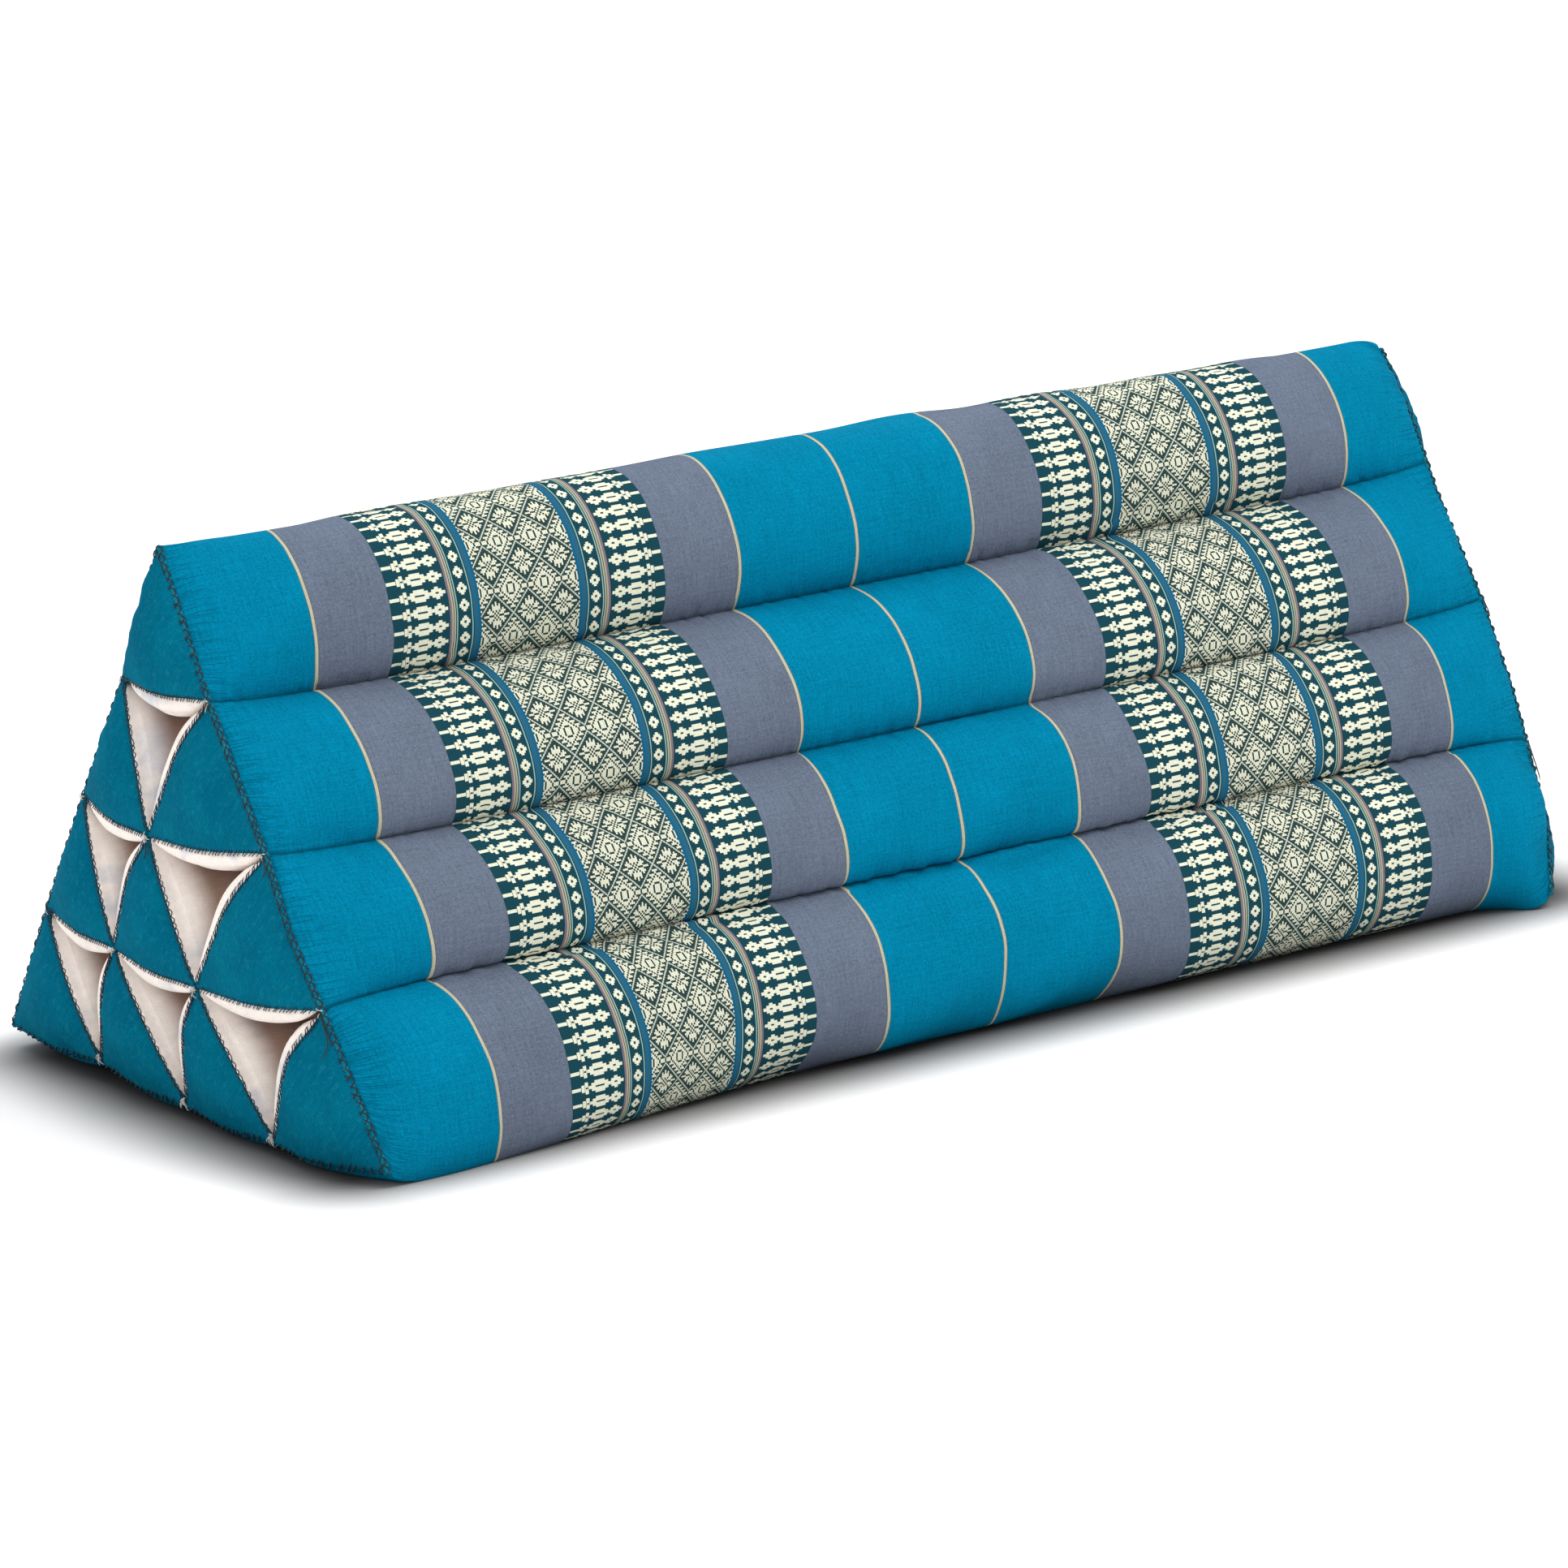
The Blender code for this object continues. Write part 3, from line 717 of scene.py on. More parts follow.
@dataclass(frozen=True)
class UndyedCotton:
    """Undyed cotton of the stuffed tubes, bluish in patches, with a painted warm shade deeper in from the
    ends.
    """

    colour: Colour = (0.950, 0.862, 0.798)
    # painted shade of the hollows' depth: a dark warm colour
    warm_painted_shade: Colour = (0.310, 0.182, 0.132)
    bluish: Colour = (0.520, 0.560, 0.650)
    depth: tuple[float, float] = (0.0045, 0.0185)    # from the plain colour to the painted warm shade, in from the end
    yarn_pitch: float = 0.55         # in millimetres

    def material(self) -> bpy.types.Material:
        """Build the tubes' material."""
        g = Graph("undyed cotton", 0.88, Sheen_Weight=0.10, Specular_IOR_Level=0.2)
        x, y, z = (value * MILLIMETRES for value in g.place())
        patch = g.noise(g.vector(x * 0.6, y, z), 0.045, 3.0, 0.5).smooth(0.52, 0.70)
        weave = x.wave(self.yarn_pitch) * (y + z * 0.6).wave(self.yarn_pitch)
        creases = g.noise(g.vector(x * 0.25, y, z), 0.16, 4.0, 0.6)
        flecks = g.noise(g.vector(x, y, z), 0.9, 2.0)
        colour = g.mix(patch * 0.62, self.colour, self.bluish)
        # painted shade: darker and warmer deeper inside the hollows
        colour = g.mix(g.mark("inside").smooth(*self.depth) * 0.95, colour, self.warm_painted_shade)
        # the crease term is painted shade: darker in the relief's troughs, lighter on its crowns; the flecks
        # are random tone
        colour = g.shade(colour, (creases - 0.5) * 0.28 + (flecks - 0.5) * 0.12 + 1.0)
        relief = creases * 0.9 + weave * 0.05 + (flecks - 0.5) * 0.15
        return g.finish(colour, relief, depth=0.0014, strength=0.7)


@dataclass(frozen=True)
class SewingThread:
    """Twisted cotton thread, one colour with lighter plies."""

    name: str
    dark: Colour
    light: Colour
    ply_pitch: float = 0.0009        # along the thread

    def material(self) -> bpy.types.Material:
        """Build the thread's material: slanting plies along the thread's own coordinates."""
        g = Graph(self.name, 0.75, Sheen_Weight=0.1, Specular_IOR_Level=0.3)
        along, across = g.cloth()
        ply = (along * (1.0 / self.ply_pitch) + across * 2.0).wave(1.0) * 0.5 + 0.5
        colour = g.mix(ply * 0.6, self.dark, self.light)
        return g.finish(colour, ply, depth=0.0002, strength=0.7)


# Pieces


@dataclass
class Cover:
    """The woven cover: one cloth round the stack, drawn in at every seam and turned in at both ends."""

    stack: Stack
    finish: bpy.types.Material
    steps: int = 32                  # across one channel
    end_step: float = 0.0016
    middle_step: float = 0.0035
    turn_in: float = 0.004           # cloth folded in under the caps
    turn_steps: int = 3
    turn_round: float = 0.0012       # how far the folded edge stands out
    fine_length: float = 0.06        # over which the step grows
    uneven_swell: float = 0.025      # share by which the channels' swell varies
    groove_pucker: float = 0.0009
    pucker_wave: float = 0.013
    groove_width: float = 0.0013
    end_crease: float = 0.0019
    deepest: float = 0.0022          # limit that the creases and swells close in on
    wander: float = 0.0012
    creases_per_channel: int = 9
    crease_zone: float = 0.06        # in from the end seams
    crease_slant: float = 0.35
    crease_lengths: tuple[float, float] = (0.006, 0.020)
    crease_widths: tuple[float, float] = (0.0019, 0.0040)
    floor_reach: float = 0.006       # height over which the creases fade towards the floor
    heart: Place = (0.0, 0.0, 0.12)  # a point inside, which the normals face away from
    name: str = "cover"

    def stations(self) -> np.ndarray:
        """Return the places along X from the left seam to the right: fine at the ends, wider inside.

        The step grows from the end step to the middle step over the first stretch, by summing a blend.
        """
        half = [0.0]
        while half[-1] < self.stack.half_length:
            share = min(half[-1] / self.fine_length, 1.0)
            half.append(half[-1] + self.end_step + (self.middle_step - self.end_step) * share)
        inner = np.array(half) * (self.stack.half_length / half[-1])
        left = inner - self.stack.half_length
        return np.concatenate([left, -left[-2::-1]])

    def surface(self, x: np.ndarray, steps: int) -> np.ndarray:
        """Return the cover's outer face as a grid, X by the way round, without its small creases.

        Args:
            x: Places along the cushion.
            steps: Steps across one channel, closer together at its seams.
        """
        shares = 0.5 - 0.5 * np.cos(np.pi * np.linspace(0, 1, steps + 1)[:-1])
        shares = 0.55 * shares + 0.45 * np.linspace(0, 1, steps + 1)[:-1]
        rows = []
        for number in range(self.stack.channels):
            inside = np.clip(self.stack.distance(x) / 0.05, 0.0, 1.0)
            swell = 1.0 + self.uneven_swell * inside * ripple(x, 0.16, 40 + number)
            rows.append(self.stack.channel(number, shares, x, swell))
        flat = np.concatenate(rows, axis=1)
        return np.concatenate([np.broadcast_to(x[:, None, None], (*flat.shape[:2], 1)), flat], axis=2)

    def cloth_places(self, steps: int) -> tuple[np.ndarray, np.ndarray, np.ndarray]:
        """Return the cloth's coordinate round the cover, and each point's distance from its nearest seam.

        The coordinate is the arc length at mid length, where the cloth lies as it was woven. The second
        distance leaves out the ridge and the base corners, where no groove shows.
        """
        section = self.surface(np.array([0.0]), steps)[0]
        ring = np.vstack([section, section[:1]])
        arc = np.concatenate([[0.0], np.cumsum(np.linalg.norm(np.diff(ring, axis=0), axis=1))])
        gaps = np.abs(arc[:, None] - arc[::steps][None, :])
        drawn_in = [number for number in range(self.stack.channels) if number % self.stack.rows]
        return arc, gaps.min(axis=1), gaps[:, drawn_in].min(axis=1)

    def creases(self, points: np.ndarray, arc: np.ndarray, seam_gap: np.ndarray,
                groove_gap: np.ndarray) -> np.ndarray:
        """Return how far each point leaves the smooth surface, along its normal.

        Puckers beat along the seams and die away over a centimetre. Creases run in from the end seams, each
        a soft trough with its own place, length, slant and depth. Slow swells make the channels uneven.
        """
        x = points[..., 0]
        distance = self.stack.distance(x)
        v = np.broadcast_to(arc, x.shape)
        level = self.wander * ripple(x * 0.8 + v * 0.35, 0.11, 3) * ripple(v + x * 0.2, 0.09, 4)
        pucker = np.zeros_like(x)
        channel_length = arc[-1] / self.stack.channels
        for number in range(self.stack.channels):
            near = np.exp(-((v - number * channel_length) / (0.75 * channel_length)) ** 2)
            pucker += near * ripple(x, self.pucker_wave, 100 + number)
        pucker *= self.groove_pucker * np.exp(-groove_gap / 0.010) * np.clip(groove_gap / 0.003, 0, 1)
        crease = np.zeros_like(x)
        random = np.random.default_rng(11)
        for end in (-1, 1):
            at_end = (np.sign(x) == end) & (distance < self.crease_zone)
            d, p = distance[at_end], v[at_end]
            for _ in range(self.creases_per_channel * self.stack.channels):
                place = random.uniform(0, arc[-1])
                slant = random.uniform(-self.crease_slant, self.crease_slant)
                length = random.uniform(*self.crease_lengths)
                depth = random.uniform(0.2, 1.0) ** 2 * self.end_crease
                width = random.uniform(*self.crease_widths)
                trough = np.exp(-(((p - place - slant * d) / width) ** 2) - d / length)
                crease[at_end] -= depth * trough * np.clip(d / 0.002, 0.15, 1.0)
        fade = np.clip(seam_gap / 0.004, 0.0, 1.0)
        shift = level * fade + pucker + crease * (0.3 + 0.7 * fade)
        return self.deepest * np.tanh(shift / self.deepest)

    def build(self) -> None:
        """Make the cover."""
        x = self.stations()
        points = self.surface(x, self.steps)
        arc, seam_gap, groove_gap = self.cloth_places(self.steps)
        normals = -grid_normals(points, wrap=True)
        outward = points - np.array(self.heart)
        normals *= np.sign((normals * outward).sum(axis=-1, keepdims=True))
        shift = self.creases(points, arc[:-1], seam_gap[:-1], groove_gap[:-1])
        floor_fade = np.clip(points[..., 2] / self.floor_reach, 0.0, 1.0)
        points = points + normals * (shift * np.where(normals[..., 2] < -0.3, floor_fade, 1.0))[..., None]
        points[..., 2] = np.maximum(points[..., 2], 0.0)
        points, along = self.turned_in(points, x)
        points = self.stack.tucked(np.concatenate([points, points[:, :1]], axis=1))
        uv = np.stack(np.broadcast_arrays(along[:, None], arc[None, :]), axis=-1).reshape(-1, 2)
        rows, columns = points.shape[:2]
        # groove: closeness to the drawn-in seams, which the cover's material darkens as painted shade
        groove = np.broadcast_to(np.exp(-((groove_gap / self.groove_width) ** 2)), (rows, columns))
        piece = make_piece(self.name, points.reshape(-1, 3), [grid_faces(rows, columns)], self.finish,
                           Slot.COVER, uv, groove=groove)
        self.close_ridge(piece)
        length = 2 * (self.stack.half_length + self.turn_in)
        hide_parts("cover_front", "cover_base", "cover_back")
        [f"tube_{row + 1}_{place + 1}" for row, place in self.stack.tubes()]

    def turned_in(self, points: np.ndarray, x: np.ndarray) -> tuple[np.ndarray, np.ndarray]:
        """Add rows at both ends where the cloth turns in towards the middle of the end.

        Returns the grid and each row's coordinate along the cloth, from the left seam.
        """
        along = x + self.stack.half_length
        centre = np.array([0.0, 0.0, self.stack.base_seam_height + self.stack.height / 3])
        for end, row in ((-1, 0), (1, -1)):
            rim = points[row]
            inward = unit((centre - rim) * np.array([0.0, 1.0, 1.0]))
            extra = []
            for step in range(1, self.turn_steps + 1):
                turn = step / self.turn_steps * np.pi / 2
                out = np.array([end * self.turn_round * math.sin(turn), 0.0, 0.0])
                extra.append(rim + inward * (self.turn_in * (1 - math.cos(turn))) + out)
            lengths = self.turn_in * np.arange(1, self.turn_steps + 1) / self.turn_steps
            if end < 0:
                points = np.concatenate([np.stack(extra[::-1]), points])
                along = np.concatenate([-lengths[::-1], along])
            else:
                points = np.concatenate([points, np.stack(extra)])
                along = np.concatenate([along, along[-1] + lengths])
        return points, along

    @staticmethod
    def close_ridge(piece: bpy.types.Object) -> None:
        """Merge the grid's first and last columns, which meet at the ridge."""
        mesh = bmesh.new()
        mesh.from_mesh(piece.data)
        bmesh.ops.remove_doubles(mesh, verts=mesh.verts, dist=1e-6)
        mesh.to_mesh(piece.data)
        mesh.free()


@dataclass(frozen=True)
class Wall:
    """One side of a tube as a curve in (y, z): a chord with a bow that grows in from the ends."""

    start: np.ndarray
    end: np.ndarray

    @property
    def outward(self) -> np.ndarray:
        """Unit vectors that point out of the tube."""
        chord = self.end - self.start
        return unit(np.stack([chord[..., 1], -chord[..., 0]], axis=-1))

    def points(self, shares: np.ndarray, bow: np.ndarray, lean: float = 1.0) -> np.ndarray:
        """Return the chord plus the bow times the squared sine of the share along it.

        Args:
            shares: Places from 0 to 1 along the wall.
            bow: Height of the bow for each row of points.
            lean: Power of the share inside the sine, which moves the bow's top along the wall.
        """
        chord = self.start[:, None] + (self.end - self.start)[:, None] * shares[None, :, None]
        rise = bow[:, None] * np.sin(np.pi * shares**lean) ** 2
        return chord + rise[..., None] * self.outward[:, None]


@dataclass
class Tubes:
    """The ten stuffed tubes of undyed cotton, which show inside the hollows."""

    stack: Stack
    finish: bpy.types.Material
    steps: int = 22                  # along one side
    swell: float = 0.0150
    growth: float = 0.030
    shrink: float = 0.92             # a hidden side, drawn in towards the tube's middle
    wrinkle: float = 0.0010
    clearance: float = 0.0004        # between the casing's end and the cap
    patch_dome: float = 0.006        # how far the middle of the closed end stands out
    lip_widths: tuple[float, float, float] = (0.0032, 0.0085, 0.0075)
    # Rolled lip at the cap: how far it stands proud of the end, at shares of its width past the cap's edge
    lip: tuple[tuple[float, float], ...] = (
        (0.0010, -0.15), (0.0021, 0.06), (0.0026, 0.35), (0.0022, 0.68), (0.0010, 0.91), (-0.0014, 1.00))

    def stations(self) -> np.ndarray:
        """Return distances from the end seam: close together near it, then even to the middle."""
        near = np.geomspace(0.003, 0.080, 20)
        return np.concatenate([near, np.linspace(0.080, self.stack.half_length, 26)[1:]])

    def lip_height(self, side: int, out: float) -> float:
        """How far the lip of a side stands proud at a distance out from the cap's edge."""
        proud, share = np.array(self.lip).T
        return float(np.interp(out, share * self.lip_widths[side], proud))

    def section(self, row: int, place: int, x: np.ndarray, past: np.ndarray) -> np.ndarray:
        """Return a tube's outline at each place, from its apex down the front side and round.

        Args:
            row: Row of the tube.
            place: Place in the row.
            x: Places along the cushion.
            past: Share of the lip's width by which each section's inner sides stand out past the cap's edge.
        """
        ring = []
        corners = self.stack.corners(row, place, x)
        centre = (sum(corners) / 3)[:, None]
        shares = np.linspace(0, 1, self.steps + 1)[:-1]
        full = np.clip(self.stack.distance(x) / self.growth, 0.0, 1.0) ** 0.8
        middle = np.sin(np.pi * shares) ** 0.5
        for side, covered in enumerate(self.stack.covered(row, place)):
            if covered:
                number = (row, self.stack.rows + place, 3 * self.stack.rows - 1 - row)[side]
                under = self.stack.channel(number, shares, x)
                ring.append(centre + (under - centre) * self.shrink)
                continue
            wall = Wall(corners[side], corners[(side + 1) % 3])
            at_cap = self.stack.edge_bows[side]
            points = wall.points(shares, at_cap + (self.swell - at_cap) * full, self.stack.edge_leans[side])
            lip = past[:, None] * self.lip_widths[side] * middle
            points = points + lip[..., None] * wall.outward[:, None]
            drawn = self.drawn_in(row, place, side, shares)
            ring.append(centre + (points - centre) * (1 - (1 - self.shrink) * drawn)[None, :, None])
        return np.concatenate(ring, axis=1)

    def drawn_in(self, row: int, place: int, side: int, shares: np.ndarray) -> np.ndarray:
        """Tell how much of the hidden sides' shrink an inner side takes: all where it meets the cover."""
        seams = self.stack.tube_seams(row, place)
        near_cover = [at_place in (0, at_row) or at_row == self.stack.rows for at_row, at_place in seams]
        first, last = near_cover[side], near_cover[(side + 1) % 3]
        return first * np.clip(1 - shares * 6, 0, 1) + last * np.clip(1 - (1 - shares) * 6, 0, 1)

    def make(self, row: int, place: int) -> None:
        """Make one tube: a skin over its sections with a domed patch at each end."""
        inner = self.stations()
        proud, past = np.array(self.lip).T
        distance = np.concatenate([np.zeros(len(proud)), inner])
        proud = np.concatenate([proud, np.zeros(len(inner))])
        past = np.concatenate([past, np.clip(1 - inner / self.growth, 0, 1)])
        along = np.concatenate([distance - self.stack.half_length, self.stack.half_length - distance[-2::-1]])
        proud = np.concatenate([-proud, proud[-2::-1]])
        flat = self.section(row, place, along, np.concatenate([past, past[-2::-1]]))
        outer = self.stack.half_length + self.stack.dome(flat) - self.clearance
        x = along[:, None] / self.stack.half_length * outer + proud[:, None] * self.on_walls(row, place)
        points = np.concatenate([x[..., None], flat], axis=2)
        points = self.stack.tucked(points + self.wrinkles(points, row, place))
        count, around = points.shape[:2]
        centres = points[[0, -1]].mean(axis=1)
        centres[:, 0] += np.array([-1, 1]) * self.patch_dome
        ring, total = np.arange(around), count * around
        following, last = (ring + 1) % around, total - around
        fans = [np.stack([following, ring, np.full(around, total)], axis=1),
                np.stack([last + ring, last + following, np.full(around, total + 1)], axis=1)]
        quads = grid_faces(count, around, wrap=True)
        everything = np.concatenate([points.reshape(-1, 3), centres])
        name = f"casing_{row + 1}_{place + 1}"
        depth = np.repeat(np.concatenate([distance, distance[-2::-1]]), around)
        piece = make_piece(name, everything, [quads, *fans], self.finish, Slot.COTTON,
                           inside=np.append(depth, (0.0, 0.0)))
        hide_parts(f"tube_{row + 1}_{place + 1}")

    def on_walls(self, row: int, place: int) -> np.ndarray:
        """Return the lip's strength round a section: none on hidden sides, fading to an inner side's ends."""
        inner = [0.0 if covered else 1.0 for covered in self.stack.covered(row, place)]
        middle = np.sin(np.pi * np.linspace(0, 1, self.steps + 1)[:-1]) ** 0.4
        return np.concatenate([strength * middle for strength in inner])[None, :]

    def wrinkles(self, points: np.ndarray, row: int, place: int) -> np.ndarray:
        """Return soft folds of the casing, which run slantwise and fade out at the corners and the ends."""
        seed = 10 * row + place
        x = points[..., 0]
        around = np.broadcast_to(np.arange(points.shape[1])[None, :], x.shape)
        share = (around % self.steps) / self.steps
        fade = np.sin(np.pi * share) ** 2 * np.clip(self.stack.distance(x) / 0.02, 0.15, 1.0)
        inner = np.repeat([not covered for covered in self.stack.covered(row, place)], self.steps)
        slant = x + 0.05 * around / self.steps
        folds = ripple(slant, 0.035, 300 + seed) + 0.7 * ripple(x * 2 - slant, 0.06, seed)
        height = self.wrinkle * fade * inner * folds
        normals = grid_normals(points, wrap=True)
        centre = points.mean(axis=1, keepdims=True)
        normals *= np.sign((normals * (points - centre)).sum(axis=-1, keepdims=True))
        return normals * height[..., None]

    def build(self) -> None:
        """Make all ten tubes."""
        for row, place in self.stack.tubes():
            self.make(row, place)


@dataclass
class Caps:
    """The crowned three-sided caps that close the tubes, ten at each end."""

    stack: Stack
    finish: bpy.types.Material
    steps: int = 30
    crown: float = 0.0075
    crown_power: float = 0.85
    top_crown: float = 0.0100
    top_power: float = 0.55
    turn_in: float = 0.0022
    dent: float = 0.0007
    allowance: float = 0.010         # for the seams, on the cut cloth

    def weights(self) -> tuple[np.ndarray, np.ndarray]:
        """Return the corner weights of a three-sided grid of points, and its triangles."""
        n = self.steps
        i, j = (axis.ravel() for axis in np.meshgrid(np.arange(n + 1), np.arange(n + 1), indexing="ij"))
        keep = i + j <= n
        i, j = i[keep], j[keep]
        number = np.full((n + 2, n + 2), -1)
        number[i, j] = np.arange(len(i))
        weights = np.stack([n - i - j, i, j], axis=1) / n
        up = i + j < n
        down = i + j < n - 1
        rising = np.stack([number[i[up], j[up]], number[i[up] + 1, j[up]], number[i[up], j[up] + 1]], axis=1)
        falling = np.stack([number[i[down] + 1, j[down]], number[i[down] + 1, j[down] + 1],
                            number[i[down], j[down] + 1]], axis=1)
        return weights, np.concatenate([rising, falling])

    def outline_point(self, row: int, place: int, weights: np.ndarray, end: End) -> np.ndarray:
        """Return (y, z) of points given by their corner weights.

        The bow of each side fades across the cap by the product of the two weights that vanish on the
        other sides.
        """
        at_end = np.array([end.value * self.stack.half_length])
        corners = [corner[0] for corner in self.stack.corners(row, place, at_end)]
        flat = sum(weights[:, k:k + 1] * corners[k] for k in range(3))
        for side, lean in enumerate(self.stack.edge_leans):
            bow = self.stack.edge_bow(row, place, side)
            a, b, opposite = (weights[:, (side + k) % 3] for k in range(3))
            along = np.clip(b + opposite / 2, 1e-6, 1 - 1e-6)
            wall = Wall(corners[side], corners[(side + 1) % 3])
            height = bow * np.sin(np.pi * along**lean) ** 2 * a * b / (along * (1 - along))
            flat = flat + height[:, None] * wall.outward
        return flat

    def surface(self, row: int, place: int, weights: np.ndarray, end: End) -> np.ndarray:
        """Return the cap's outer face at corner weights, before the end's corner is drawn in."""
        flat = self.outline_point(row, place, weights, end)
        stand = self.stack.cloth + self.height(weights, row, place, end)
        return np.column_stack([end.value * (self.stack.half_length + self.stack.dome(flat) + stand), flat])

    def height(self, weights: np.ndarray, row: int, place: int, end: End) -> np.ndarray:
        """How far the cap stands out: a power of the product of its weights, with dents along the edges."""
        seed = 500 + 100 * (end is End.RIGHT) + 10 * row + place
        product = np.clip(27.0 * weights.prod(axis=1), 0.0, 1.0)
        crown, power = (self.crown, self.crown_power) if row else (self.top_crown, self.top_power)
        crowned = crown * product ** power
        edge = weights.min(axis=1)
        turn = np.arctan2(weights[:, 0] - 1 / 3, weights[:, 1] - 1 / 3)
        dents = ripple(turn, 0.55, seed) * np.exp(-edge / 0.09) * np.clip(edge / 0.03, 0.0, 1.0)
        broad = ripple(weights[:, 0] - 0.6 * weights[:, 1], 0.45, seed + 50)
        return crowned * (1 + 0.06 * broad) + self.dent * dents

    def make(self, row: int, place: int, end: End) -> None:
        """Make one cap, with its edge turned in."""
        weights, triangles = self.weights()
        points = self.stack.tucked(self.surface(row, place, weights, end))
        rim, rim_faces = self.rim(weights, points, end)
        if end is End.LEFT:
            triangles = triangles[:, ::-1]
        everything = np.concatenate([points, rim])
        side = end.name.lower()
        name = f"end_{side}_{row + 1}_{place + 1}"
        piece = make_piece(name, everything, [triangles, rim_faces], self.finish, Slot.CAP)
        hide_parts(f"cap_{side}_{row + 1}_{place + 1}")
        width, depth = self.stack.base_width / self.stack.rows, self.stack.height / self.stack.rows
        cut = (width + self.allowance, depth + self.allowance)
        0.56 * cut[0] * cut[1]

    def border(self, weights: np.ndarray) -> np.ndarray:
        """Return the numbers of the outline's points in order, from the apex down the front side."""
        a, b, c = weights.T
        angle = np.where(c < 1e-9, b, np.where(a < 1e-9, 1 + c, 2 + a))
        on_edge = np.flatnonzero(weights.min(axis=1) < 1e-9)
        return on_edge[np.argsort(angle[on_edge])]

    def rim(self, weights: np.ndarray, points: np.ndarray, end: End) -> tuple[np.ndarray, np.ndarray]:
        """Return the turned-in edge: two more rings, the second drawn in under the cap."""
        border = self.border(weights)
        edge = points[border]
        centre = edge.mean(axis=0)
        inward = unit((centre - edge) * np.array([0.0, 1.0, 1.0]))
        depth = np.array([-end.value, 0.0, 0.0])
        first = edge + depth * self.turn_in * 0.6 - inward * 0.0002
        second = edge + depth * self.turn_in + inward * self.turn_in * 0.5
        count, total = len(border), len(points)
        following = np.roll(np.arange(count), -1)
        rings = [border, total + np.arange(count), total + count + np.arange(count)]
        faces = [np.stack([one, two, two[following], one[following]], axis=1)
                 for one, two in zip(rings, rings[1:])]
        stacked = np.concatenate(faces)
        return np.concatenate([first, second]), stacked if end is End.RIGHT else stacked[:, ::-1]

    def build(self) -> None:
        """Make all twenty caps."""
        for end in End:
            for row, place in self.stack.tubes():
                self.make(row, place, end)


